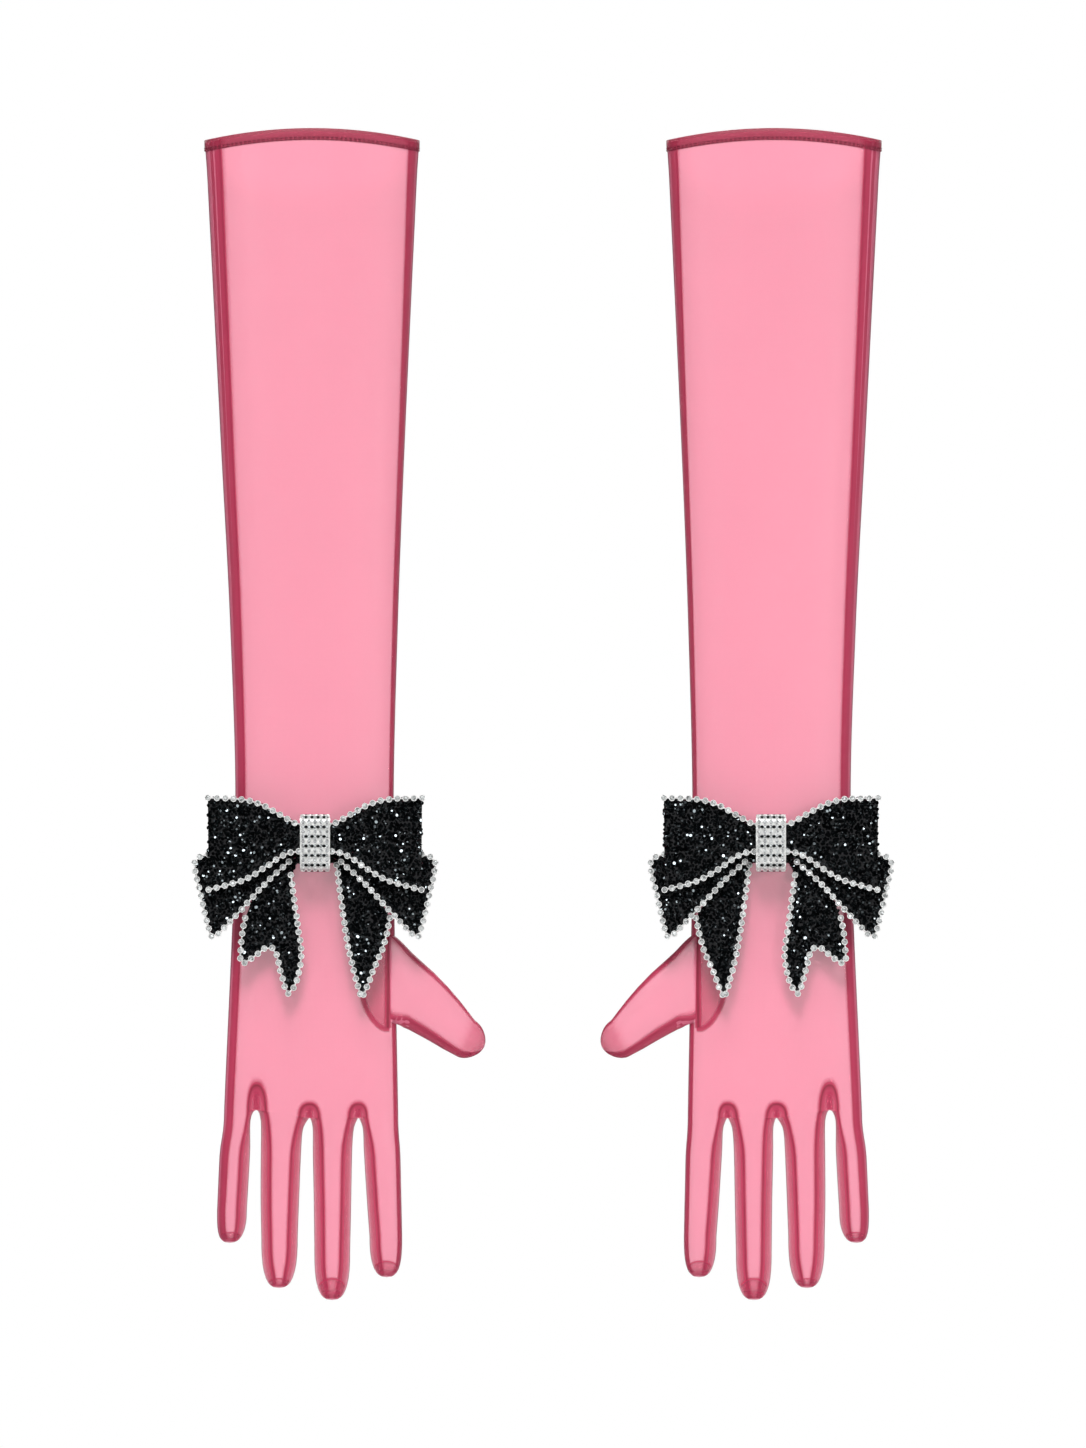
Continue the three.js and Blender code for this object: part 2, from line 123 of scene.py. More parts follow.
def between(stations: Sequence[Sequence[float]], at: float) -> list[float]:
    """Reads smooth values between stations.

    Args:
        stations: rows of a place and the values there, in the order of their places.
        at: the place to read.

    Returns:
        The values at that place.
    """
    keys = [s[0] for s in stations]
    last = len(keys) - 1
    down = keys[-1] < keys[0]
    i = next((k for k in range(last) if (at >= keys[k + 1] if down else at <= keys[k + 1])), last - 1)

    def slope(k: int, n: int) -> float:
        """Returns how fast value n changes at station k."""
        a, b = max(k - 1, 0), min(k + 1, last)
        return (stations[b][n] - stations[a][n]) / (keys[b] - keys[a])

    span = keys[i + 1] - keys[i]
    t = (at - keys[i]) / span
    out = []
    for n in range(1, len(stations[0])):
        p, q = stations[i][n], stations[i + 1][n]
        out.append(
            (2 * t**3 - 3 * t**2 + 1) * p
            + (t**3 - 2 * t**2 + t) * span * slope(i, n)
            + (3 * t**2 - 2 * t**3) * q
            + (t**3 - t**2) * span * slope(i + 1, n)
        )
    return out


def oval(share: float, square: float) -> float:
    """Returns a superellipse's height, as a share of its half height, at a share of its half width."""
    return max(1 - min(abs(share), 1) ** square, 0) ** (1 / square)


def only(obj: bpy.types.Object) -> None:
    """Makes an object the only selected one, and the active one."""
    bpy.ops.object.select_all(action="DESELECT")
    obj.select_set(True)
    bpy.context.view_layer.objects.active = obj


def placed(name: str, mesh: bpy.types.Mesh) -> bpy.types.Object:
    """Puts a finished mesh in the scene and reports it.

    Args:
        name: the piece's full name.
        mesh: its mesh.

    Returns:
        Its object, at the origin.
    """
    made = bpy.data.objects.new(name, mesh)
    bpy.context.scene.collection.objects.link(made)
    LOG.info("%s: %d faces", name, len(mesh.polygons))
    return made


def merge(mesh: bpy.types.Mesh, distance: float) -> None:
    """Joins the points of a mesh that lie within a distance of each other, in metres.

    Args:
        mesh: the mesh.
        distance: how close the points lie, in metres.
    """
    shape = bmesh.new()
    shape.from_mesh(mesh)
    bmesh.ops.remove_doubles(shape, verts=shape.verts, dist=distance)
    shape.to_mesh(mesh)
    shape.free()


def added(add: Callable[..., set[str]], **sizes: object) -> bpy.types.Object:
    """Adds a primitive with nothing else selected, and applies its place to its mesh.

    Args:
        add: the operator that adds it.
        sizes: the operator's own settings.

    Returns:
        The primitive, selected alone.
    """
    bpy.ops.object.select_all(action="DESELECT")
    add(**sizes)
    made = bpy.context.active_object
    only(made)
    bpy.ops.object.transform_apply(location=True, rotation=True, scale=True)
    return made


def pick_flat(obj: bpy.types.Object, way: int) -> None:
    """Selects only the flat faces of a shape that look up, with way 1, or down, with way -1.

    Args:
        obj: the shape.
        way: 1 for the faces that look up, -1 for those that look down.
    """
    shape = bmesh.new()
    shape.from_mesh(obj.data)
    for face in shape.faces:
        face.select_set(way * face.normal.z > 0.9)
    shape.to_mesh(obj.data)
    shape.free()


# ---------------------------------------------------------------- finishes


def new_node(tree: bpy.types.NodeTree, kind: str, **values: float) -> bpy.types.Node:
    """Adds a shader node.

    Args:
        tree: the nodes that it joins.
        kind: its type, without ShaderNode.
        values: what its inputs are set to, by name, with _ in place of a space.

    Returns:
        The node.
    """
    made = tree.nodes.new(f"ShaderNode{kind}")
    for name, value in values.items():
        made.inputs[name.replace("_", " ")].default_value = value
    return made


def per_metre(tree: bpy.types.NodeTree, length: bpy.types.NodeSocket) -> bpy.types.NodeSocket:
    """Turns a length into how many of it go into a metre.

    Args:
        tree: the nodes.
        length: the socket that puts the length out.

    Returns:
        The socket that puts the number out.
    """
    made = new_node(tree, "Math")
    made.operation = "DIVIDE"
    made.inputs[0].default_value = 1.0
    tree.links.new(length, made.inputs[1])
    return made.outputs[0]


def socket(group: bpy.types.NodeTree, name: str, way: str, kind: str, value: float | None = None) -> None:
    """Adds a named socket to a node group.

    Args:
        group: the node group.
        name: the socket's name.
        way: INPUT or OUTPUT.
        kind: Float, Vector or Color.
        value: the default of a float input.
    """
    made = group.interface.new_socket(name=name, in_out=way, socket_type="NodeSocket" + kind)
    if value is not None:
        made.default_value = value


def net_group() -> bpy.types.NodeTree:
    """Returns the knitted net that every cloth shares: the threads' height, and soft changes of its tone.

    Returns:
        The node group.
    """
    if "Net" in bpy.data.node_groups:
        return bpy.data.node_groups["Net"]
    group = bpy.data.node_groups.new("Net", "ShaderNodeTree")
    socket(group, "Pitch", "INPUT", "Float", 0.0006)
    socket(group, "Threads", "OUTPUT", "Float")
    socket(group, "Tone", "OUTPUT", "Float")
    link = group.links.new
    given, out = group.nodes.new("NodeGroupInput"), group.nodes.new("NodeGroupOutput")
    place = new_node(group, "TexCoord")
    scaled = new_node(group, "VectorMath")
    scaled.operation = "SCALE"
    link(place.outputs["UV"], scaled.inputs[0])
    link(per_metre(group, given.outputs["Pitch"]), scaled.inputs["Scale"])
    cells = new_node(group, "TexVoronoi", Scale=1, Randomness=0.35)
    cells.feature = "DISTANCE_TO_EDGE"
    link(scaled.outputs[0], cells.inputs["Vector"])
    thread = new_node(group, "MapRange", From_Max=0.22, To_Min=1, To_Max=0)
    link(cells.outputs["Distance"], thread.inputs["Value"])
    link(thread.outputs[0], out.inputs["Threads"])
    cloud = new_node(group, "TexNoise", Scale=22, Detail=3)
    link(place.outputs["Object"], cloud.inputs["Vector"])
    link(cloud.outputs["Fac"], out.inputs["Tone"])
    return group


def facet_group() -> bpy.types.NodeTree:
    """Returns the change from stone to stone that all stones share, as a value that is flat over each stone.

    Returns:
        The node group.
    """
    if "Stone change" in bpy.data.node_groups:
        return bpy.data.node_groups["Stone change"]
    group = bpy.data.node_groups.new("Stone change", "ShaderNodeTree")
    socket(group, "Size", "INPUT", "Float", 0.002)
    socket(group, "Change", "OUTPUT", "Float")
    link = group.links.new
    given, out = group.nodes.new("NodeGroupInput"), group.nodes.new("NodeGroupOutput")
    cells = new_node(group, "TexVoronoi")
    link(per_metre(group, given.outputs["Size"]), cells.inputs["Scale"])
    link(new_node(group, "TexCoord").outputs["Object"], cells.inputs["Vector"])
    grey = new_node(group, "RGBToBW")
    link(cells.outputs["Color"], grey.inputs[0])
    link(grey.outputs[0], out.inputs["Change"])
    return group


@dataclass(frozen=True)
class Finish:
    """A finish, made once and shared by the pieces that have it."""

    name: str
    colour: Colour
    roughness: float

    def material(self) -> bpy.types.Material:
        """Returns the finish's material, and makes it the first time.

        Returns:
            The material.
        """
        found = bpy.data.materials.get(self.name)
        if found:
            return found
        made = bpy.data.materials.new(self.name)
        made.use_nodes = True
        shader = made.node_tree.nodes["Principled BSDF"]
        shader.inputs["Base Color"].default_value = (*self.colour, 1)
        shader.inputs["Roughness"].default_value = self.roughness
        self.dress(made.node_tree, shader)
        return made

    def dress(self, tree: bpy.types.NodeTree, shader: bpy.types.Node) -> None:
        """Adds this kind of finish's own nodes.

        Args:
            tree: the material's nodes.
            shader: its Principled BSDF.
        """

    def vary(
        self, tree: bpy.types.NodeTree, source: bpy.types.NodeSocket, low: float, high: float
    ) -> bpy.types.NodeSocket:
        """Turns a mask into a range of values.

        Args:
            tree: the material's nodes.
            source: the mask, from 0 to 1.
            low: the value where the mask is 0.
            high: the value where the mask is 1.

        Returns:
            The socket that puts the values out.
        """
        ranged = new_node(tree, "MapRange", To_Min=low, To_Max=high)
        tree.links.new(source, ranged.inputs["Value"])
        return ranged.outputs[0]

    def shade(
        self, tree: bpy.types.NodeTree, source: bpy.types.NodeSocket, low: float, high: float
    ) -> bpy.types.NodeSocket:
        """Turns a mask into darker and lighter tones of the finish's colour.

        Args:
            tree: the material's nodes.
            source: the mask, from 0 to 1.
            low: how bright the colour is where the mask is 0.
            high: how bright it is where the mask is 1.

        Returns:
            The socket that puts the colour out.
        """
        mix = new_node(tree, "Mix")
        mix.data_type = "RGBA"
        mix.inputs["A"].default_value = (*(min(c * low, 1) for c in self.colour), 1)
        mix.inputs["B"].default_value = (*(min(c * high, 1) for c in self.colour), 1)
        tree.links.new(source, mix.inputs["Factor"])
        return mix.outputs["Result"]

    def relief(self, tree: bpy.types.NodeTree, source: bpy.types.NodeSocket, depth: float) -> bpy.types.NodeSocket:
        """Turns a height into a bumpy normal.

        Args:
            tree: the material's nodes.
            source: the height, from 0 to 1.
            depth: the height of 1, in metres.

        Returns:
            The socket that puts the normal out.
        """
        bump = new_node(tree, "Bump", Distance=depth, Strength=0.6)
        tree.links.new(source, bump.inputs["Height"])
        return bump.outputs[0]


@dataclass(frozen=True)
class SheerCloth(Finish):
    """Net that can be seen through. A piece's fade attribute thins it out towards 0.

    With a deep colour, the cloth covers quickly as the attribute rises from 0 and reaches that colour at 1.
    """

    cover: float = 0.46
    pitch: float = 0.0006
    tone: tuple[float, float] = (0.97, 1.03)
    deep: Colour | None = None
    threads: tuple[float, float] = (0.97, 1.05)  # cover between the threads and on them
    deepening: float = 1.7
    full_at: float = 0.75
    thread_height: float = 0.00004
    gloss: float = 0.45
    sheen: float = 0.08

    def dress(self, tree: bpy.types.NodeTree, shader: bpy.types.Node) -> None:
        """Adds the net, its cover and its soft changes of tone.

        Args:
            tree: the material's nodes.
            shader: its Principled BSDF.
        """
        net = new_node(tree, "Group")
        net.node_tree = net_group()
        net.inputs["Pitch"].default_value = self.pitch
        fade = new_node(tree, "Attribute")
        fade.attribute_name = "fade"
        cover = new_node(tree, "Math")
        cover.operation = "MULTIPLY"
        threads = self.vary(tree, net.outputs["Threads"], *(self.cover * share for share in self.threads))
        tree.links.new(threads, cover.inputs[0])
        tree.links.new(cover.outputs[0], shader.inputs["Alpha"])
        colour = self.shade(tree, net.outputs["Tone"], *self.tone)
        if self.deep is None:
            tree.links.new(fade.outputs["Fac"], cover.inputs[1])
        else:
            layers = new_node(tree, "Math")
            layers.operation = "POWER"
            layers.inputs[1].default_value = self.deepening
            tree.links.new(fade.outputs["Fac"], layers.inputs[0])
            deeper = new_node(tree, "Mix")
            deeper.data_type = "RGBA"
            deeper.inputs["B"].default_value = (*self.deep, 1)
            tree.links.new(layers.outputs[0], deeper.inputs["Factor"])
            tree.links.new(colour, deeper.inputs["A"])
            colour = deeper.outputs["Result"]
            thick = new_node(tree, "MapRange", From_Max=self.full_at)
            thick.interpolation_type = "SMOOTHSTEP"
            tree.links.new(fade.outputs["Fac"], thick.inputs["Value"])
            tree.links.new(thick.outputs[0], cover.inputs[1])
        tree.links.new(colour, shader.inputs["Base Color"])
        tree.links.new(self.relief(tree, net.outputs["Threads"], self.thread_height), shader.inputs["Normal"])
        shader.inputs["Specular IOR Level"].default_value = self.gloss
        shader.inputs["Sheen Weight"].default_value = self.sheen


@dataclass(frozen=True)
class Stone(Finish):
    """Cut stones, each a little different from the next."""

    metal: float = 0.0
    change: tuple[float, float] = (0.6, 1.6)
    size: float = 0.002
    coat: float = 0.0
    index: float = 1.5
    glint: Colour = (0.82, 0.95, 1)

    def dress(self, tree: bpy.types.NodeTree, shader: bpy.types.Node) -> None:
        """Adds the change from stone to stone.

        Args:
            tree: the material's nodes.
            shader: its Principled BSDF.
        """
        cells = new_node(tree, "Group")
        cells.node_tree = facet_group()
        cells.inputs["Size"].default_value = self.size
        change = cells.outputs["Change"]
        tree.links.new(self.shade(tree, change, *self.change), shader.inputs["Base Color"])
        rough = self.vary(tree, change, self.roughness * 0.6, self.roughness * 1.6)
        tree.links.new(rough, shader.inputs["Roughness"])
        shader.inputs["Metallic"].default_value = self.metal
        shader.inputs["Coat Weight"].default_value = self.coat
        shader.inputs["IOR"].default_value = self.index
        shader.inputs["Specular Tint"].default_value = (*self.glint, 1)


@dataclass(frozen=True)
class Felt(Finish):
    """Fibrous cloth that can't be seen through."""

    fibre_height: float = 0.0002

    def dress(self, tree: bpy.types.NodeTree, shader: bpy.types.Node) -> None:
        """Adds the fibres.

        Args:
            tree: the material's nodes.
            shader: its Principled BSDF.
        """
        place = new_node(tree, "TexCoord")
        fibres = new_node(tree, "TexNoise", Scale=2600, Detail=6)
        tree.links.new(place.outputs["Object"], fibres.inputs["Vector"])
        height = fibres.outputs["Fac"]
        tree.links.new(self.shade(tree, height, 0.6, 1.5), shader.inputs["Base Color"])
        tree.links.new(self.relief(tree, height, self.fibre_height), shader.inputs["Normal"])


@dataclass(frozen=True)
class Metal(Finish):
    """Plated metal, a little worn."""

    metal: float = 0.45

    def dress(self, tree: bpy.types.NodeTree, shader: bpy.types.Node) -> None:
        """Adds the wear.

        Args:
            tree: the material's nodes.
            shader: its Principled BSDF.
        """
        place = new_node(tree, "TexCoord")
        wear = new_node(tree, "TexNoise", Scale=900)
        tree.links.new(place.outputs["Object"], wear.inputs["Vector"])
        tree.links.new(self.shade(tree, wear.outputs["Fac"], 0.75, 1.2), shader.inputs["Base Color"])
        rough = self.vary(tree, wear.outputs["Fac"], self.roughness * 0.7, self.roughness * 1.5)
        tree.links.new(rough, shader.inputs["Roughness"])
        shader.inputs["Metallic"].default_value = self.metal


NET = SheerCloth("pink sheer net", (0.81, 0.187, 0.302), 0.3, cover=0.6)
SEAM = SheerCloth(
    "seam allowance", (0.6, 0.042, 0.12), 0.45, cover=0.92, tone=(0.85, 1.15), deep=(0.205, 0.005, 0.025)
)
HEM = SheerCloth("hem band", (0.37, 0.02, 0.062), 0.5, cover=0.6, tone=(0.9, 1.1))
THREAD = Felt("crimson thread", (0.16, 0.007, 0.028), 0.6)
BLACK_CLOTH = Felt("black felt", (0.004, 0.004, 0.005), 0.9)
BLACK_STONE = Stone("black cut stones", (0.0016, 0.0019, 0.0022), 0.06, change=(0.15, 1.3), size=0.0019, index=1.6)
CLEAR_STONE = Stone("clear cut stones", (0.62, 0.64, 0.64), 0.1, metal=0.25, change=(0.25, 1.5), size=0.0012, coat=1)
SILVER = Metal("silver cups", (0.86, 0.86, 0.84), 0.3)
FLOOR = Felt("pale floor", (0.9, 0.9, 0.9), 0.9)


def dress_only(obj: bpy.types.Object, finish: Finish) -> None:
    """Gives an object one finish all over, in place of what it has."""
    obj.data.materials.clear()
    obj.data.materials.append(finish.material())


# ---------------------------------------------------------------- cloth


class Piece:
    """Collects the points and faces of one piece of a glove, and makes its mesh."""

    def __init__(self, side: Side, name: str, centre: float) -> None:
        """Starts an empty piece.

        Args:
            side: the glove that the piece is on.
            name: the piece's name on that glove.
            centre: the right glove's centre line, in the row's x.
        """
        self.side, self.name, self.centre = side, side.piece(name), centre
        self.points: Row = []
        self.fades: list[float] = []
        self.faces: list[tuple[int, ...]] = []
        self.places: list[list[tuple[float, float]]] = []

    def sheet(
        self,
        rows: list[Row],
        ring: bool = False,
        fades: Sequence[float] | None = None,
        skip: Callable[[int, int], bool] | None = None,
        ends: Sequence[float] | None = None,
    ) -> None:
        """Adds a sheet of four-sided faces.

        Args:
            rows: rows of points, each as long as the first, in order down the piece.
            ring: whether each row closes on itself.
            fades: how solid the sheet is at each point of a row, from 0 to 1.
            skip: says of a row and a column whether its face is left out.
            ends: how solid each row is, on top of the fades, from 0 to 1.
        """
        base, width = len(self.points), len(rows[0])
        across = [0.0]
        for a, b in zip(rows[0], [*rows[0][1:], rows[0][0]]):
            across.append(across[-1] + (b - a).length * MM)
        down = [0.0]
        for a, b in zip(rows, rows[1:]):
            down.append(down[-1] + (b[0] - a[0]).length * MM)
        for r, row in enumerate(rows):
            self.points.extend(row)
            self.fades.extend(f * (ends[r] if ends else 1) for f in (fades or [1.0] * width))
        for r in range(len(rows) - 1):
            for c in range(width if ring else width - 1):
                if skip and skip(r, c):
                    continue
                d = (c + 1) % width
                near, far = base + r * width, base + (r + 1) * width
                self.faces.append((near + c, far + c, far + d, near + d))
                u, v, w, x = across[c], across[c + 1], down[r], down[r + 1]
                self.places.append([(u, w), (u, x), (v, x), (v, w)])

    def cap(self, row: Row, apex: Vector) -> None:
        """Closes a ring of points with triangles that meet at its apex.

        Args:
            row: the ring, in order.
            apex: where its triangles meet.
        """
        base = len(self.points)
        self.points.extend([*row, apex])
        self.fades.extend([1.0] * (len(row) + 1))
        top = base + len(row)
        for i in range(len(row)):
            self.faces.append((base + i, top, base + (i + 1) % len(row)))
            self.places.append([(0, 0), (MM, MM), (MM, 0)])

    def build(self, finish: Finish) -> bpy.types.Object:
        """Makes the piece's object.

        Args:
            finish: its finish.

        Returns:
            The object, at the origin, with its place in its mesh.
        """
        way = self.side.value
        mesh = bpy.data.meshes.new(self.name)
        points = [(way * (p.x + self.centre) * MM, p.y * MM, p.z * MM) for p in self.points]
        turned = [f if way > 0 else f[::-1] for f in self.faces]
        mesh.from_pydata(points, [], turned)
        layer = mesh.uv_layers.new(name="UVMap")
        flat = [uv for place in self.places for uv in (place if way > 0 else place[::-1])]
        for loop, uv in zip(layer.data, flat):
            loop.uv = uv
        mesh.attributes.new("fade", "FLOAT", "POINT").data.foreach_set("value", self.fades)
        mesh.materials.append(finish.material())
        for polygon in mesh.polygons:
            polygon.use_smooth = True
        merge(mesh, 2e-6)
        return placed(self.name, mesh)


class Garment:
    """A piece of cloth together with the seams that are sewn on it."""

    def __init__(self, side: Side, name: str, centre: float) -> None:
        """Starts the cloth and its seams.

        Args:
            side: the glove that the cloth is on.
            name: the cloth's name on that glove.
            centre: the right glove's centre line, in the row's x.
        """
        self.side = side
        self.cloth = Piece(side, name, centre)
        self.seams = Piece(side, f"{name}_seams", centre)

    def finish(
        self,
        nodes: Sequence[str],
        bodies: tuple[str, str],
        run: tuple[Vector, Vector],
        flat: tuple[float, float],
        rests_on: str,
        area: float | None = None,
    ) -> None:
        """Makes both pieces, and hides the solids that they take the place of.

        Args:
            nodes: the solids that the cloth takes the place of, as named on one glove.
            bodies: the two bodies on either side of the cloth, as named on one glove; not used.
            run: the start and the end of the bend; not used.
            flat: the size that the cloth was cut to; not used.
            rests_on: the piece that holds it, as named on one glove; not used.
            area: the area of the cut in square metres, where it isn't a rectangle; not used.
        """
        cloth = self.cloth.build(NET)
        pieces = [cloth]
        if self.seams.faces:
            pieces.append(self.seams.build(SEAM))
        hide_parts(*(self.side.piece(n) for n in nodes))
        for piece in pieces:
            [self.side.piece(b) for b in bodies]
            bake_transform(piece)
        held = [self.side.piece(rests_on)]


def down(levels: tuple[float, float]) -> tuple[Vector, Vector]:
    """Turns two levels into the start and the end of a bend."""
    return Vector((0, 0, levels[0] * MM)), Vector((0, 0, levels[1] * MM))


@dataclass(frozen=True)
class Opening:
    """The opening between two fingers: where its seam arches over, and where the cloth parts below."""

    x: float
    seam: float
    parting: float


@dataclass(frozen=True)
class GloveForm:
    """The shape of the glove's tube, from its cuff to where the fingers part."""

    centre: float = -115.5
    stations: tuple[tuple[float, ...], ...] = (
        # z, width, depth, shift towards the thumb, squareness
        (0, 107, 36, 0, 2.4),
        (-160, 91.5, 32, 0.4, 2.4),
        (-250, 83.5, 28, 1, 2.4),
        (-345, 79, 24, 1.2, 2.4),
        (-497, 87.1, 15, -0.5, 3.4),
    )
    crown: float = 6
    crown_reach: float = 26
    corner: float = 0.93
    flank: tuple[float, ...] = (0.975, 0.995, 1.0, 0.995, 0.975)
    openings: tuple[Opening, ...] = (
        Opening(-27.75, -478.5, -491),
        Opening(-1.25, -488, -495),
        Opening(23.25, -488, -495),
    )
    parting: float = -495
    outer_parting: float = -493
    spans: tuple[float, ...] = (-1, -0.75, -0.5, -0.25, 0, 0.25, 0.5, 0.75, 1)

    def section(self, z: float) -> tuple[float, float, float, float]:
        """Returns the tube's half width, half depth, shift and squareness at a level."""
        width, depth, shift, square = between(self.stations, z)
        return width / 2, depth / 2, shift, square

    def surface(self, share: float, face: Face, z: float, inset: float = 0) -> Vector:
        """Finds a point on the tube.

        Args:
            share: how far across the tube, from -1 to 1.
            face: the face that the point is on.
            z: the point's level.
            inset: how far inside the surface the point lies.

        Returns:
            The point.
        """
        half_width, half_depth, shift, square = self.section(z)
        y = face.value * (half_depth - inset) * oval(share, square)
        return Vector((shift + share * (half_width - inset), y, z))

    def share(self, x: float, z: float) -> float:
        """Returns how far across the tube an x is at a level, from -1 to 1."""
        half_width, _, shift, _ = self.section(z)
        return max(min((x - shift) / half_width, 1), -1)

    def marks(self) -> list[float]:
        """Returns the shares at which the fingers begin and end, from the little finger's side."""
        inner = [self.share(o.x, o.parting) for o in self.openings]
        return [-self.corner, *inner, self.corner]

    def columns(self) -> list[tuple[float, Face]]:
        """Returns the tube's columns as shares and faces: back of the hand, thumb side, palm, outer side.

        Returns:
            The share and the face of each column.
        """
        marks = self.marks()
        across = [-self.corner]
        for low, high in zip(marks, marks[1:]):
            across += [low + (high - low) * (s + 1) / 2 for s in self.spans[1:]]
        halves = [Face.BACK] * 3 + [Face.PALM] * 2
        flank = list(zip(self.flank, halves))
        return [
            *((a, Face.BACK) for a in across),
            *flank,
            *((a, Face.PALM) for a in reversed(across)),
            *((-a, face) for a, face in reversed(flank)),
        ]

    def parting_at(self, share: float) -> float:
        """Returns the level at which the tube ends and the fingers begin, at a share.

        Args:
            share: how far across the tube, from -1 to 1.

        Returns:
            The level.
        """
        marks = self.marks()
        levels = [self.outer_parting, *(o.parting for o in self.openings), self.outer_parting]
        share = max(min(share, marks[-1]), marks[0])
        for (a, low), (b, high) in zip(zip(marks, levels), zip(marks[1:], levels[1:])):
            if share <= b:
                return low + (high - low) * (share - a) / (b - a)
        return levels[-1]

    def drop(self, share: float, z: float) -> float:
        """Returns how far the cuff's crown lowers a point at a share and a level."""
        return self.crown * share * share * (1 - smooth(-z / self.crown_reach))


@dataclass(frozen=True)
class SideSeam:
    """The seam allowance down one side of the glove, as the width of cloth that shows at each level, and painted soft
    shade inside it.
    """

    way: int
    widths: tuple[tuple[float, float], ...]
    # From reach 1.3 to 1.03 the strip is painted soft shade on the cloth beside the seam; from 1.03 out to the edge it
    # is the seam allowance.
    solid: tuple[float, ...] = (0.0, 0.28, 0.84, 0.62, 0.62, 0.95)
    reach: tuple[float, ...] = (1.3, 1.03, 0.9, 0.72, 0.3, 0.0)
    inset: float = -0.12

    def across(self) -> list[tuple[float, Face, float]]:
        """Returns the strip's points: reach from the side's edge, face, and how solid it is."""
        back = [(r, Face.BACK, s) for r, s in zip(self.reach, self.solid)]
        palm = [(r, Face.PALM, s) for r, s in zip(self.reach, self.solid)]
        return [*back, *reversed(palm[:-1])] if self.way > 0 else [*palm[:-1], *reversed(back)]

    def share(self, reach: float, half_width: float, z: float) -> float:
        """Returns the share at which a point of the strip lies, on a section of the given half width."""
        width = between(self.widths, z)[0]
        return self.way * (1 - width / half_width * reach)

    def add(self, piece: "Piece", form: GloveForm, levels: Sequence[float]) -> None:
        """Adds the seam to a piece of the tube, from the first level to the last.

        Args:
            piece: the seams that it is added to.
            form: the glove's shape.
            levels: the levels of its rows, from the top.
        """
        rows = []
        for z in levels:
            half_width = form.section(z)[0]
            row = []
            for reach, face, _ in self.across():
                share = self.share(reach, half_width, z)
                point = form.surface(share, face, z, self.inset)
                point.z -= form.drop(share, z)
                row.append(point)
            rows.append(row)
        piece.sheet(rows, fades=[solid for _, _, solid in self.across()])


OUTER_SEAM = SideSeam(-1, ((0, 8.2), (-140, 6.6), (-250, 5.6), (-330, 5.0), (-495, 4.6), (-560, 3.8)))
INNER_SEAM = SideSeam(1, ((0, 5.2), (-140, 3.2), (-250, 2.6), (-330, 2.2), (-495, 2.2), (-575, 2.2)))


def ribbon_on(
    form: GloveForm, face: Face, path: Sequence[tuple[float, float]], width: float, inset: float
) -> list[Row]:
    """Lays a narrow strip on a face of the tube.

    Args:
        form: the glove's shape.
        face: the face that the strip lies on.
        path: the strip's middle line, as x and z.
        width: the strip's width.
        inset: how far inside the surface it lies.

    Returns:
        Rows of seven points across the strip.
    """
    rows = []
    last = len(path) - 1
    for i, (x, z) in enumerate(path):
        (ax, az), (bx, bz) = path[max(i - 1, 0)], path[min(i + 1, last)]
        along = Vector((bx - ax, 0, bz - az)).normalized()
        aside = Vector((along.z, 0, -along.x)) * face.value
        row = []
        for step in spread(-0.5, 0.5, 7):
            spot = Vector((x, 0, z)) + aside * (step * width)
            row.append(form.surface(form.share(spot.x, spot.z), face, spot.z, inset))
        rows.append(row)
    return rows


STRIP_SOLID = (0.0, 0.5, 0.8, 1.0, 0.8, 0.4, 0.0)


@dataclass(frozen=True)
class Sleeve:
    """The cloth from the cuff to the middle of the forearm, over the elbow."""

    form: GloveForm
    top: float = -1.6
    bottom: float = -270
    rows: int = 44
    bend: tuple[float, float] = (-114, -206)

    def build(self, side: Side) -> None:
        """Makes the sleeve of one glove.

        Args:
            side: the glove.
        """
        form = self.form
        garment = Garment(side, "sleeve", form.centre)
        levels = spread(self.top, self.bottom, self.rows)
        rows = []
        for z in levels:
            row = []
            for share, face in form.columns():
                point = form.surface(share, face, z)
                point.z -= form.drop(share, z)
                row.append(point)
            rows.append(row)
        garment.cloth.sheet(rows, ring=True)
        OUTER_SEAM.add(garment.seams, form, levels)
        INNER_SEAM.add(garment.seams, form, levels)
        garment.finish(["upper_sleeve"], ("upper", "forearm"), down(self.bend), (0.222, 0.27), "hem")


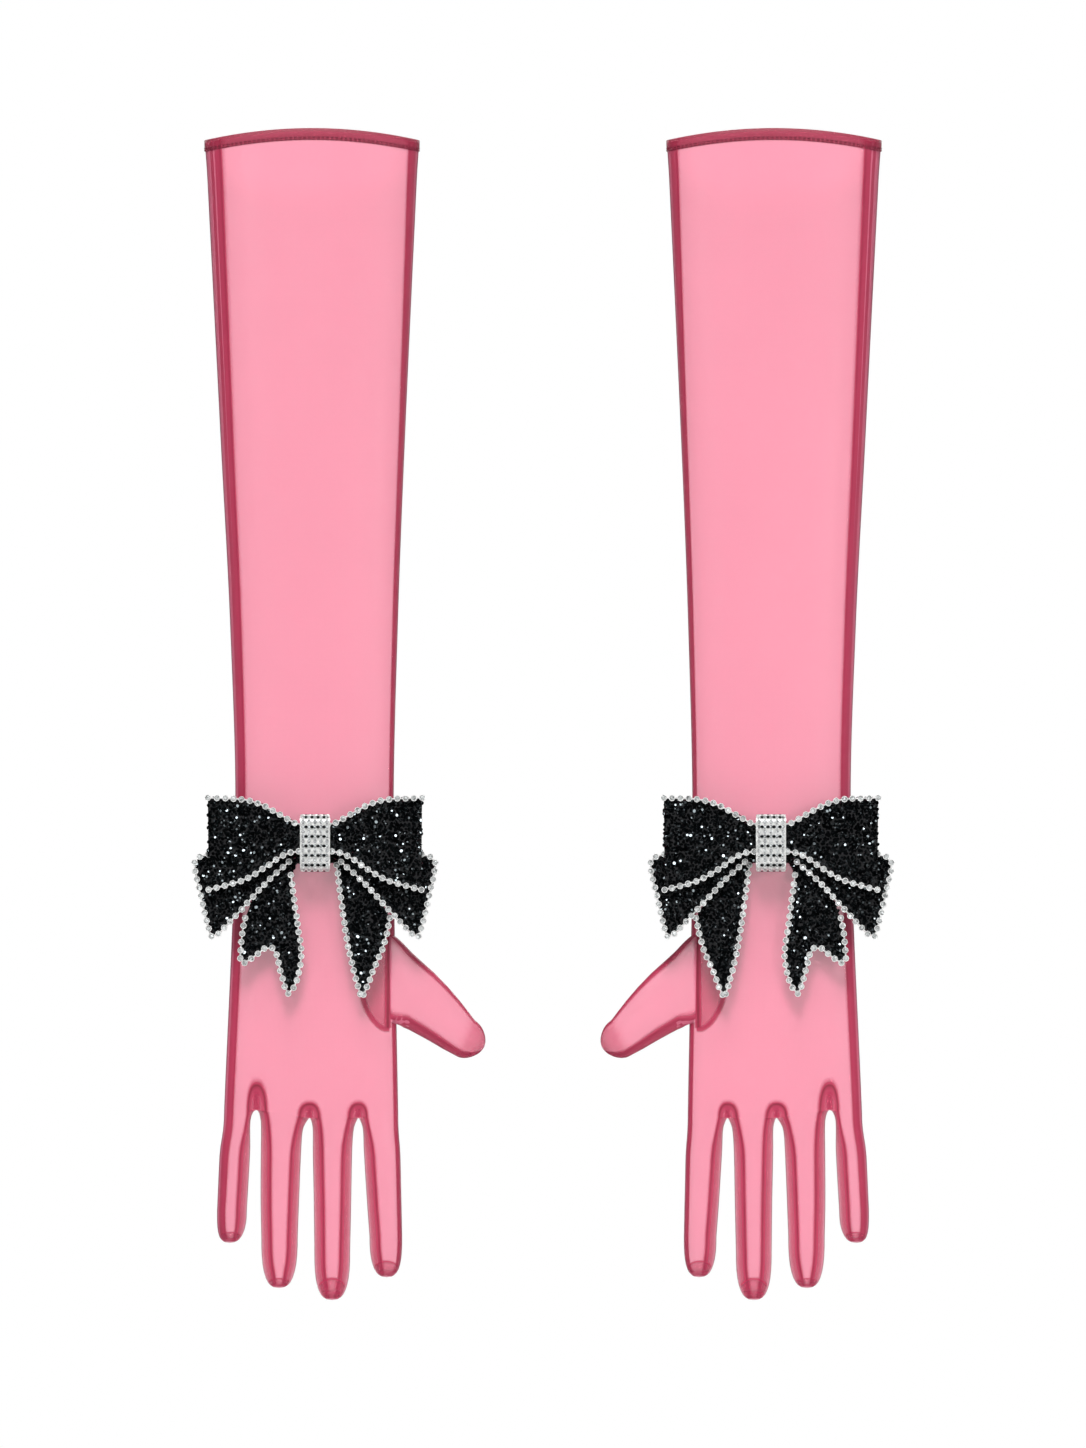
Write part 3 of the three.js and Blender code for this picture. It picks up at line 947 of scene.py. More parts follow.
@dataclass(frozen=True)
class Hem:
    """The cuff's hem: the edge folded over, with two rows of stitches near its lower edge."""

    form: GloveForm
    height: float = 6.0
    proud: float = 0.4
    inside: float = 0.7
    stitch_levels: tuple[float, ...] = (-4.4, -5.4)
    stitch_length: float = 2.0
    stitch_pitch: float = 2.3
    stitch_radius: float = 0.38

    def ring(self, z: float, out: float) -> Row:
        """Returns a ring of the hem at a level, grown by out.

        Args:
            z: the level.
            out: how far the ring is grown.

        Returns:
            The ring's points, in order.
        """
        form = self.form
        row = []
        for share, face in form.columns():
            point = form.surface(share, face, z, -out)
            point.z -= form.crown * share * share
            row.append(point)
        return row

    def build(self, side: Side) -> None:
        """Makes the hem of one glove, with its stitches.

        Args:
            side: the glove.
        """
        piece = Piece(side, "hem", self.form.centre)
        out, back, low = self.proud, -self.inside, -self.height
        profile = [(low, out - 0.25), (low + 0.3, out), (low / 2, out + 0.1), (-0.45, out), (-0.1, out - 0.3)]
        profile += [(0, (out + back) / 2), (-0.1, back + 0.3), (-0.45, back), (low / 2, back), (low, back)]
        rings = [self.ring(z, grow) for z, grow in reversed(profile)]
        piece.sheet(rings, ring=True)
        made = piece.build(HEM)
        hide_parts(side.piece("cuff_hem"))
        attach(made, side.piece("upper"))
        stitches = self.stitches(side)
        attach(stitches, side.piece("upper"))

    def stitches(self, side: Side) -> bpy.types.Object:
        """Makes the two rows of stitches round the hem.

        Args:
            side: the glove.

        Returns:
            The stitches, as one piece.
        """
        pattern = added(bpy.ops.mesh.primitive_uv_sphere_add, segments=6, ring_count=4, radius=1)
        bpy.ops.object.mode_set(mode="EDIT")
        bpy.ops.mesh.select_all(action="SELECT")
        bpy.ops.transform.resize(value=(self.stitch_length / 2, self.stitch_radius, self.stitch_radius))
        bpy.ops.object.mode_set(mode="OBJECT")
        copies = []
        for level in self.stitch_levels:
            path, step = self.ring(level, self.proud), 0.0
            for a, b in zip(path, [*path[1:], path[0]]):
                length = (b - a).length
                while step < length:
                    spot = a.lerp(b, step / length)
                    copies.append(Matrix.Translation(spot) @ (b - a).to_track_quat("X", "Z").to_matrix().to_4x4())
                    step += self.stitch_pitch
                step -= length
        return copied(side, "hem_stitches", self.form.centre, [(pattern, copies, THREAD)])


@dataclass(frozen=True)
class Hand:
    """The cloth from the middle of the forearm to the fingers, over the wrist."""

    form: GloveForm
    top: float = -270
    thumb_top: float = -404
    thumb_bottom: float = -447
    even_until: float = -455
    bend: tuple[float, float] = (-362, -404)
    inset: float = -0.12
    gusset: tuple[tuple[float, float], ...] = (
        (24, -407), (24.4, -422), (25.6, -436), (30, -445.3), (35, -450), (38.6, -450.4),
    )
    base: tuple[float, float] = (38.2, 37.8)  # the x of the thumb's base seam, at its top and bottom
    base_bottom: float = -450
    base_width: float = 4.4
    fold_width: float = 4
    fork_width: float = 4.5
    fork_share: float = 0.75  # how solid the forks and the fold are, next to a whole seam
    pouch_solid: float = 0.38
    palm_share: float = 0.5

    def levels(self) -> list[float]:
        """Returns the levels of the rows down to where they start to follow the openings."""
        above = spread(self.top, self.thumb_top, 26)
        return [*above, *spread(self.thumb_top, self.thumb_bottom, 9)[1:], self.even_until]

    def rows(self) -> list[Row]:
        """Returns all the rows of the hand. The last one is where the fingers begin.

        Returns:
            The rows, from the top.
        """
        form = self.form
        columns = form.columns()
        rows = [[form.surface(a, face, z) for a, face in columns] for z in self.levels()]
        for t in (0.2, 0.4, 0.6, 0.75, 0.88, 1.0):
            row = []
            for a, face in columns:
                z = self.even_until + (form.parting_at(a) - self.even_until) * t
                row.append(form.surface(a, face, z))
            rows.append(row)
        return rows

    def flank(self) -> tuple[int, int]:
        """Returns the first and last columns of the thumb's side."""
        first = len(self.form.spans) * 4 - 4
        return first, first + len(self.form.flank) + 1

    def thumb_rows(self) -> tuple[int, int]:
        """Returns the first and last rows of the thumb's hole."""
        levels = self.levels()
        return levels.index(self.thumb_top), levels.index(self.thumb_bottom)

    def in_hole(self, row: int, column: int) -> bool:
        """Says whether a face is in the thumb's hole."""
        (low, high), (first, last) = self.thumb_rows(), self.flank()
        return low <= row < high and first <= column < last

    def thumb_loop(self) -> Row:
        """Returns the thumb's hole as a ring of points: its top, palm, bottom and back edges.

        Returns:
            The points, in order.
        """
        rows = self.rows()
        (low, high), (first, last) = self.thumb_rows(), self.flank()
        loop = [rows[low][c] for c in range(first, last + 1)]
        loop += [rows[r][last] for r in range(low + 1, high)]
        loop += [rows[high][c] for c in range(last, first - 1, -1)]
        loop += [rows[r][first] for r in range(high - 1, low, -1)]
        return loop

    def arch(self, place: int, fingers: Sequence["Finger"], face: Face) -> list[Row]:
        """Carries the seams of two fingers over the opening between them.

        Args:
            place: the opening's place, from the little finger's side.
            fingers: the four fingers, from the little finger.
            face: the face that the seam is on.

        Returns:
            Rows across the seam, from the first finger to the second.
        """
        form = self.form
        opening = form.openings[place]
        feet = [fingers[place].root(1, face), fingers[place + 1].root(-1, face)]
        reach = fingers[place].seam_reach
        line = reach[fingers[place].seam_solid.index(max(fingers[place].seam_solid))]
        rows = []
        for angle in spread(0, math.pi, 21):
            foot = feet[0] if angle < math.pi / 2 else feet[1]
            across, up = abs(math.cos(angle)) ** 0.8, math.sin(angle)
            row = []
            for spot, distance in zip(foot, reach):
                rise = (opening.seam - opening.parting) * distance / line
                x = opening.x + (spot.x - opening.x) * across
                z = spot.z + (opening.parting + rise - spot.z) * up
                row.append(form.surface(form.share(x, z), face, z, self.inset))
            rows.append(row[::face.value])
        return rows

    def build(self, side: Side, fingers: Sequence["Finger"]) -> None:
        """Makes the hand of one glove.

        Args:
            side: the glove.
            fingers: its four fingers, from the little finger.
        """
        form = self.form
        garment = Garment(side, "hand", form.centre)
        garment.cloth.sheet(self.rows(), ring=True, skip=self.in_hole)
        seams = garment.seams
        lower = [*self.levels(), -465, -475, -485, form.outer_parting]
        OUTER_SEAM.add(seams, form, lower)
        INNER_SEAM.add(seams, form, [z for z in lower if z >= self.thumb_top])
        INNER_SEAM.add(seams, form, [z for z in lower if z <= self.thumb_bottom])
        stations = [(i, *p) for i, p in enumerate(self.gusset)]
        fold = [tuple(between(stations, t)) for t in spread(0, len(stations) - 1, 21)]
        base = list(zip(spread(*self.base, 9), spread(self.thumb_top + 1, self.base_bottom, 9)))
        faint = [f * self.fork_share for f in STRIP_SOLID]
        for face in Face:
            for place, opening in enumerate(form.openings):
                # The arches carry the fingers' seam fades, with the painted soft shade at their inner fringe.
                solid = [f * 1.08 for f in fingers[place].seam_solid]
                seams.sheet(self.arch(place, fingers, face), fades=solid[:: face.value])
                fork = [(opening.x, z) for z in spread(opening.seam - 0.5, opening.parting + 0.2, 5)]
                seams.sheet(ribbon_on(form, face, fork, self.fork_width, self.inset / 2), fades=faint)
            near = 1.0 if face is Face.BACK else self.palm_share
            seams.sheet(ribbon_on(form, face, fold, self.fold_width, self.inset), fades=[f * near for f in faint])
            seams.sheet(ribbon_on(form, face, base, self.base_width, self.inset), fades=[f * near for f in STRIP_SOLID])
            pouch = []
            for x, z in fold[:-3]:
                edge = spread(x, self.base[1], 7)[:: -face.value]
                pouch.append([form.surface(form.share(px, z), face, z, self.inset / 2) for px in edge])
            seams.sheet(pouch, fades=[self.pouch_solid * near] * 7)
        nodes = ["forearm_sleeve", "hand_back", "hand_palm"]
        garment.finish(nodes, ("forearm", "hand"), down(self.bend), (0.184, 0.224), "sleeve")


@dataclass(frozen=True)
class Finger:
    """A finger: a shell of back and palm, and the fourchettes between them."""

    form: GloveForm
    name: str
    place: int  # from 0, the little finger, to 3, the index finger
    edges: tuple[tuple[float, float, float], ...]  # level, outer edge, inner edge
    depth: float
    rounding: float  # the level at which the tip starts to round
    tip: tuple[float, float]  # x and z
    fourchettes: tuple[str, ...]
    shell_flat: tuple[float, float]
    side_flat: tuple[float, float]
    tuck: float = 8
    tip_seam: float = 9
    square: float = 2.5
    inset: float = -0.12
    bend: tuple[float, float] = (-495.6, -516)
    # Across the seam from the finger's side inwards: the allowance out to reach 4.8, then painted soft shade fading
    # onto the cloth out to 6.7.
    seam_reach: tuple[float, ...] = (0.5, 1.3, 2.3, 3.3, 4.1, 4.8, 5.5, 6.7)
    seam_solid: tuple[float, ...] = (0.0, 0.28, 0.36, 0.44, 0.66, 0.92, 0.34, 0.0)
    edge_solid: tuple[float, ...] = (0.2, 0.6, 0.72, 0.6, 0.2)
    edge_proud: float = 0.1
    free_by: float = 18  # how far down its closed side has left the tube
    split_by: float = 5  # how far down its side by an opening has
    level_by: float = 14  # how far down its rows lie level
    full_half: float = 7.4  # the half width at which its seams have their whole width
    least_half: float = 2.4
    tip_square: float = 2.7

    def levels(self) -> list[float]:
        """Returns the levels of the rows, from the parting to just above the tip.

        Returns:
            The levels, from the top.
        """
        start = self.form.parting
        near = [start - t for t in (0, 0.5, 1.3, 2.6, 4.5, 7, 10, 14, 19)]
        straight = spread(near[-1], self.rounding, max(3, round((near[-1] - self.rounding) / 7) + 1))[1:]
        low = self.rounding - self.tip[1]
        return [*near, *straight, *(self.rounding - low * f for f in (0.2, 0.38, 0.54, 0.68, 0.8, 0.89, 0.95, 0.985))]

    def cross(self, z: float) -> tuple[float, float, float]:
        """Returns the finger's middle, half width and half depth at a level.

        Args:
            z: the level.

        Returns:
            The middle, the half width and the half depth.
        """
        outer, inner = between(self.edges, max(z, self.rounding))
        middle, half = (outer + inner) / 2, (inner - outer) / 2
        share = max((self.rounding - z) / (self.rounding - self.tip[1]), 0)
        round_off = oval(share, self.tip_square)
        middle += (self.tip[0] - middle) * share * share
        return middle, half * round_off, self.depth / 2 * (1 - 0.1 * smooth(share)) * round_off

    def weight(self, t: float, share: float) -> float:
        """Returns how far a point has left the tube for the finger.

        Args:
            t: how far below the parting the point is.
            share: how far across the finger it is.

        Returns:
            0 on the tube, 1 on the finger.
        """
        gentle = smooth(t / self.free_by)
        closed = (self.place == 0 and share < 0) or (self.place == 3 and share > 0)
        return gentle if closed else gentle + (quarter(t / self.split_by) - gentle) * share * share

    def spot(self, z: float, share: float, face: Face, inset: float = 0, tube_share: float | None = None) -> Vector:
        """Finds a point on the back or the palm of the finger.

        Args:
            z: its level.
            share: how far across the finger it is, from -1 to 1.
            face: the face that it is on.
            inset: how far inside the surface it lies.
            tube_share: where it leaves the tube, if not straight above.

        Returns:
            The point.
        """
        form = self.form
        t = form.parting - z
        middle, half, deep = self.cross(z)
        half, deep = max(half - inset, LEAST), max(deep - inset, LEAST)
        on = Vector((middle + half * share, face.value * deep * oval(share, self.square), z))
        if tube_share is None:
            low, high = form.marks()[self.place : self.place + 2]
            tube_share = low + (high - low) * (share / form.corner + 1) / 2
        above = form.surface(tube_share, face, form.parting_at(tube_share), inset)
        w = self.weight(t, share)
        made = above.lerp(on, w)
        made.z = z + (above.z - form.parting) * (1 - smooth(t / self.level_by))
        return made

    def flank_spots(self, z: float, way: int) -> Row:
        """Returns the points of one side of the finger, from the back to the palm.

        Args:
            z: the level.
            way: 1 for the finger's thumb side, -1 for the other.

        Returns:
            The points, in order.
        """
        form = self.form
        t = form.parting - z
        middle, half, deep = self.cross(z)
        rim = deep * oval(form.corner, self.square)
        index = self.place + (way > 0)
        marks = form.marks()
        row = []
        for k, y_share in enumerate(spread(-1, 1, 7)[1:-1]):
            y = rim * y_share
            on = Vector((middle + way * half * oval(y / max(deep, 1e-6), self.square), y, z))
            if index in (0, 4):
                face = Face.BACK if k < 3 else Face.PALM
                above = form.surface(way * form.flank[k], face, form.outer_parting)
                w = smooth(t / self.free_by)
            else:
                opening = form.openings[index - 1]
                above = form.surface(marks[index], Face.PALM, opening.parting)
                above.y *= y_share
                w = quarter(t / self.split_by)
            made = above.lerp(on, w)
            made.z = z + (above.z - form.parting) * (1 - smooth(t / self.level_by))
            row.append(made)
        return row

    def ring(self, z: float) -> Row:
        """Returns a whole ring of the finger: back, inner side, palm, outer side.

        Args:
            z: the level.

        Returns:
            The ring's points, in order.
        """
        corner = self.form.corner
        back = [self.spot(z, s * corner, Face.BACK) for s in self.form.spans]
        palm = [self.spot(z, s * corner, Face.PALM) for s in reversed(self.form.spans)]
        return [*back, *self.flank_spots(z, 1), *palm, *reversed(self.flank_spots(z, -1))]

    def seam(self, piece: Piece, way: int, face: Face) -> None:
        """Adds the seam between the shell and a fourchette, from the parting to the tip, with painted soft shade fading
        inwards beside it.

        Args:
            piece: the seams that it is added to.
            way: 1 for the finger's thumb side, -1 for the other.
            face: the face that it is on.
        """
        rows = []
        for z in self.levels()[:-1]:
            half = self.cross(z)[1]
            scale = min(half / self.full_half, 1)
            shares = [way * (1 - reach * scale / half) for reach in self.seam_reach]
            rows.append([self.spot(z, share, face, self.inset) for share in shares][:: way * -face.value])
        piece.sheet(rows, fades=self.seam_solid[:: way * -face.value])

    def root(self, way: int, face: Face) -> Row:
        """Returns the points across a seam where the finger leaves the hand.

        Args:
            way: 1 for the finger's thumb side, -1 for the other.
            face: the face that the seam is on.

        Returns:
            The points, from the first reach to the last.
        """
        half = self.cross(self.form.parting)[1]
        scale = min(half / self.full_half, 1)
        shares = [way * (1 - reach * scale / half) for reach in self.seam_reach]
        return [self.spot(self.form.parting, share, face, self.inset) for share in shares]

    def edge(self, piece: Piece, way: int) -> None:
        """Adds the denser cloth along one side of the finger.

        Args:
            piece: the seams that it is added to.
            way: 1 for the finger's thumb side, -1 for the other.
        """
        rows = [self.flank_spots(z, way)[::way] for z in self.levels()[1:-1]]
        for row in rows:
            for point in row:
                point.x += way * self.edge_proud
        piece.sheet(rows, fades=self.edge_solid)

    def side_seam(self, piece: Piece, seam: SideSeam) -> None:
        """Carries a side seam of the glove down the outside of this finger.

        Args:
            piece: the seams that it is added to.
            seam: the side seam that goes on here.
        """
        rows = []
        for z in self.levels()[:-2]:
            half = max(self.cross(z)[1], self.least_half)
            tube_half = self.form.section(self.form.outer_parting)[0]
            row = []
            for reach, face, _ in seam.across():
                share = seam.share(reach, half, z)
                top_share = seam.share(reach, tube_half, self.form.outer_parting)
                row.append(self.spot(z, share, face, seam.inset, top_share))
            rows.append(row)
        piece.sheet(rows, fades=[solid for _, _, solid in seam.across()])

    def tuck_in(self, piece: Piece) -> None:
        """Adds the cloth turned in at the tip, which shows as a darker crescent.

        Args:
            piece: the seams that it is added to.
        """
        low = self.tip[1] + 0.7
        for face, solid in ((Face.BACK, 0.6), (Face.PALM, 0.3)):
            shares = [face.value * -s for s in spread(-0.86, 0.86, 13)]
            rows = []
            for t in (0, 0.08, 0.16, 0.3, 0.5, 0.75, 1):
                tops = [low + self.tuck * math.sqrt(1 - 0.75 * s * s) for s in shares]
                rows.append([self.spot(top + (low - top) * t, s, face, -0.2) for s, top in zip(shares, tops)])
            piece.sheet(rows, fades=[solid] * len(shares), ends=(0.1, 1, 0.7, 0.55, 0.6, 0.8, 1))

    def build(self, side: Side) -> None:
        """Makes the finger's shell and its fourchettes on one glove.

        Args:
            side: the glove.
        """
        shell = f"{self.name}_finger_shell"
        levels = self.levels()
        rings = [self.ring(z) for z in levels]
        count = len(rings[0])
        seam_row = next(i for i, z in enumerate(levels) if z < self.tip[1] + self.tip_seam)
        left, right = 2, 6  # the columns of its two seams on the back
        far_right, far_left = 16, 20  # the columns of its two seams on the palm
        parts = {"inner": range(right, far_right + 1), "outer": range(far_left, count + left + 1)}
        sides = {k: [c % count for c in v] for k, v in parts.items()}
        taken = {c for k in self.fourchettes for c in sides[k][:-1]}
        garment = Garment(side, shell, self.form.centre)
        garment.cloth.sheet(rings, ring=True, skip=lambda r, c: r < seam_row and c in taken)
        garment.cloth.cap(rings[-1], Vector((self.tip[0], 0, self.tip[1])))
        for kind in self.fourchettes:
            way = 1 if kind == "inner" else -1
            self.edge(garment.seams, way)
            for face in Face:
                self.seam(garment.seams, way, face)
        if self.place == 0:
            self.side_seam(garment.seams, OUTER_SEAM)
        if self.place == 3:
            self.side_seam(garment.seams, INNER_SEAM)
        self.tuck_in(garment.seams)
        bodies = ("hand", self.name)
        garment.finish([f"{self.name}_finger"], bodies, down(self.bend), self.shell_flat, "hand")
        for kind in self.fourchettes:
            strip = Garment(side, f"{self.name}_{kind}_fourchette", self.form.centre)
            strip.cloth.sheet([[row[c] for c in sides[kind]] for row in rings[: seam_row + 1]])
            strip.finish([f"{self.name}_fourchette_{kind}"], bodies, down(self.bend), self.side_flat, shell)


@dataclass(frozen=True)
class Thumb:
    """The thumb, set into the hole in the side of the hand."""

    form: GloveForm
    hand: Hand
    run: tuple[tuple[float, ...], ...] = (
        # how far along, then the upper edge's x and z, the lower edge's x and z, and the half depth
        (0, 41.2, -404, 41.5, -447.3, 7),
        (0.25, 52, -414.3, 50, -451.6, 7),
        (0.5, 63.6, -424.9, 59.5, -456.8, 6.8),
        (0.75, 73.8, -436.4, 65.6, -460.4, 6.5),
        (1, 81.5, -446.5, 73.2, -464.4, 6.2),
    )
    tip_reach: float = 9.7
    tip_square: float = 1.7
    root_reach: float = 0.2
    square: float = 2.3
    inset: float = -0.12
    bend: tuple[float, float] = (41.9, 52)

    def frame(self, t: float) -> tuple[Vector, Vector, float]:
        """Returns the thumb's middle, its half height as a vector, and its half depth.

        Args:
            t: how far along: 0 at the root, 1 where the tip starts to round, 2 at the tip.

        Returns:
            The middle, the way and distance to the upper edge, and the half depth.
        """
        ux, uz, lx, lz, deep = between(self.run, min(t, 1))
        upper, lower = Vector((ux, 0, uz)), Vector((lx, 0, lz))
        middle, up = (upper + lower) / 2, (upper - lower) / 2
        if t > 1:
            ahead = Vector((up.z, 0, -up.x)).normalized()
            middle += ahead * self.tip_reach * (t - 1)
            round_off = oval(t - 1, self.tip_square)
            up, deep = up * round_off, deep * round_off
        return middle, up, deep

    def spot(self, t: float, turn: float, inset: float = 0) -> Vector:
        """Returns the point at a turn round the thumb: a quarter turn is its upper edge, 0 its palm.

        Args:
            t: how far along.
            turn: where round the thumb.
            inset: how far inside the surface the point lies.

        Returns:
            The point.
        """
        middle, up, deep = self.frame(t)
        c, s = math.cos(turn), math.sin(turn)
        power = 2 / self.square
        height, through = math.copysign(abs(s) ** power, s), math.copysign(abs(c) ** power, c)
        up = up * max(1 - inset / max(up.length, LEAST), LEAST)
        return middle + up * height + Vector((0, max(deep - inset, LEAST) * through, 0))

    def rings(self) -> list[Row]:
        """Returns the thumb's rings, from the hand's hole to just before the tip.

        Returns:
            The rings, from the root.
        """
        loop = self.hand.thumb_loop()
        count = len(loop)
        step = 2 * math.pi / count
        turns = [math.pi / 2 + 3 * step - i * step for i in range(count)]
        rings = [loop]
        along = (0.04, 0.09, 0.15, 0.22, 0.3, 0.4, 0.5, 0.6, 0.7, 0.8, 0.9, 1)
        for t in (*along, 1.13, 1.27, 1.4, 1.52, 1.64, 1.74, 1.83, 1.91, 1.97):
            w = smooth(t / self.root_reach)
            ring = []
            for start, turn in zip(loop, turns):
                on = self.spot(t, turn)
                drift = self.frame(t)[0] - self.frame(0)[0]
                ring.append((start + drift).lerp(on, w))
            rings.append(ring)
        return rings

    def on_cloth(self, loop: list[Vector], t: float, turn: float) -> Vector:
        """Returns the point just outside the cloth, which near the root still has the shape of the hand's hole.

        Args:
            loop: the edge of the hand's hole.
            t: how far along.
            turn: where round the thumb.

        Returns:
            The point.
        """
        on = self.spot(t, turn, self.inset)
        if t >= self.root_reach:
            return on
        step = 2 * math.pi / len(loop)
        place = (math.pi / 2 + 3 * step - turn) / step % len(loop)
        first = int(place)
        start = loop[first].lerp(loop[(first + 1) % len(loop)], place - first)
        start = start - (start - self.frame(0)[0]).normalized() * self.inset
        drift = self.frame(t)[0] - self.frame(0)[0]
        return (start + drift).lerp(on, smooth(t / self.root_reach))

    def band(self, piece: Piece, turn: float, widths: tuple[float, float], solid: Sequence[float]) -> None:
        """Adds a seam along an edge of the thumb.

        Args:
            piece: the thumb's seams.
            turn: where round the thumb the seam runs.
            widths: the strip's reach to each side, as angles, at the root and at the tip.
            solid: how solid it is at each of nine points across it.
        """
        rows, loop = [], self.hand.thumb_loop()
        for t in (0, 0.04, 0.08, 0.12, 0.16, 0.2, 0.3, 0.45, 0.6, 0.75, 0.9, 1, 1.2, 1.4, 1.6, 1.8, 1.9):
            reach = widths[0] + (widths[1] - widths[0]) * min(t, 1)
            rows.append([self.on_cloth(loop, t, turn + reach * s) for s in spread(1, -1, 9)])
        piece.sheet(rows, fades=solid)

    def tip(self, piece: Piece) -> None:
        """Adds the cloth turned in at the tip.

        Args:
            piece: the seams that it is added to.
        """
        levels = (0.88, 0.98, 1.1, 1.3, 1.5, 1.7, 1.85, 1.95)
        turns = [math.tau * i / 24 for i in range(24)][::-1]
        rows = [[self.spot(t, turn, self.inset * 1.6) for turn in turns] for t in levels]
        piece.sheet(rows, ring=True, fades=[0.32] * 24, ends=(0, 0.55, 0.8, 0.85, 0.8, 0.85, 1, 1))

    def build(self, side: Side) -> None:
        """Makes the thumb of one glove.

        Args:
            side: the glove.
        """
        garment = Garment(side, "thumb_shell", self.form.centre)
        rings = self.rings()
        garment.cloth.sheet(rings, ring=True)
        garment.cloth.cap(rings[-1], self.frame(2)[0])
        self.band(garment.seams, -math.pi / 2, (1.0, 1.05), (0, 0.78, 0.5, 0.45, 0.7, 0.45, 0.5, 0.78, 0))
        self.band(garment.seams, math.pi / 2, (0.8, 0.62), (0, 0.5, 0.65, 0.6, 0.7, 0.6, 0.65, 0.5, 0))
        self.tip(garment.seams)
        way = side.value
        start, end = (Vector((way * (x + self.form.centre) * MM, 0, 0)) for x in self.bend)
        garment.finish(["thumb"], ("hand", "thumb"), (start, end), (0.09, 0.056), "hand", area=0.0041)


# ---------------------------------------------------------------- the bow


def copied(
    side: Side, name: str, centre: float, kinds: Sequence[tuple[bpy.types.Object, list[Matrix], Finish]]
) -> bpy.types.Object:
    """Makes one piece out of many copies of a few patterns, and removes the patterns.

    Args:
        side: the glove that the piece is on.
        name: the piece's name on that glove.
        centre: the right glove's centre line, in the row's x.
        kinds: each pattern, the places of its copies in the glove's own frame, and its finish.

    Returns:
        The piece.
    """
    points: list[tuple[float, float, float]] = []
    faces: list[tuple[int, ...]] = []
    slots: list[int] = []
    way = side.value
    for slot, (pattern, places, _) in enumerate(kinds):
        corners = [v.co.copy() for v in pattern.data.vertices]
        sides = [tuple(p.vertices) for p in pattern.data.polygons]
        for place in places:
            base = len(points)
            for corner in corners:
                p = place @ corner
                points.append((way * (p.x + centre) * MM, p.y * MM, p.z * MM))
            turned = [s if way > 0 else s[::-1] for s in sides]
            faces.extend(tuple(base + i for i in s) for s in turned)
            slots.extend([slot] * len(turned))
    mesh = bpy.data.meshes.new(side.piece(name))
    mesh.from_pydata(points, [], faces)
    for _, _, finish in kinds:
        mesh.materials.append(finish.material())
    for polygon, slot in zip(mesh.polygons, slots):
        polygon.material_index = slot
    for pattern in {id(k[0]): k[0] for k in kinds}.values():
        bpy.data.objects.remove(pattern)
    return placed(side.piece(name), mesh)


def cut_stone(table: float, height: float, sides: int = 8) -> bpy.types.Object:
    """Models a cut stone of radius 1 that stands on the XY plane.

    Args:
        table: the radius of its flat top.
        height: how high it stands.
        sides: how many facets it has round it.

    Returns:
        The stone, as a pattern to copy.
    """
    girdle = height / 4
    crown = height - girdle
    made = added(
        bpy.ops.mesh.primitive_cone_add,
        vertices=sides, radius1=1, radius2=table, depth=crown, location=(0, 0, girdle + crown / 2),
    )
    pick_flat(made, -1)
    bpy.ops.object.mode_set(mode="EDIT")
    bpy.ops.mesh.extrude_region_move(TRANSFORM_OT_translate={"value": (0, 0, -girdle)})
    bpy.ops.object.mode_set(mode="OBJECT")
    return made


def cup() -> bpy.types.Object:
    """Models a stone's metal cup of radius 1: a low rim round a sunken floor, as a pattern to copy.

    Returns:
        The cup.
    """
    height, rim, sunk = 0.8, 0.16, 0.35
    made = added(bpy.ops.mesh.primitive_cylinder_add, vertices=8, radius=1, depth=height, location=(0, 0, height / 2))
    pick_flat(made, 1)
    bpy.ops.object.mode_set(mode="EDIT")
    bpy.ops.mesh.inset(thickness=rim)
    bpy.ops.mesh.extrude_region_move(TRANSFORM_OT_translate={"value": (0, 0, -sunk)})
    bpy.ops.object.mode_set(mode="OBJECT")
    return made


def link_bar() -> bpy.types.Object:
    """Models the short bar between two cups, one unit long along x, as a pattern to copy."""
    upright = (0, math.pi / 2, 0)
    return added(bpy.ops.mesh.primitive_cylinder_add, vertices=6, radius=0.5, depth=1, rotation=upright)


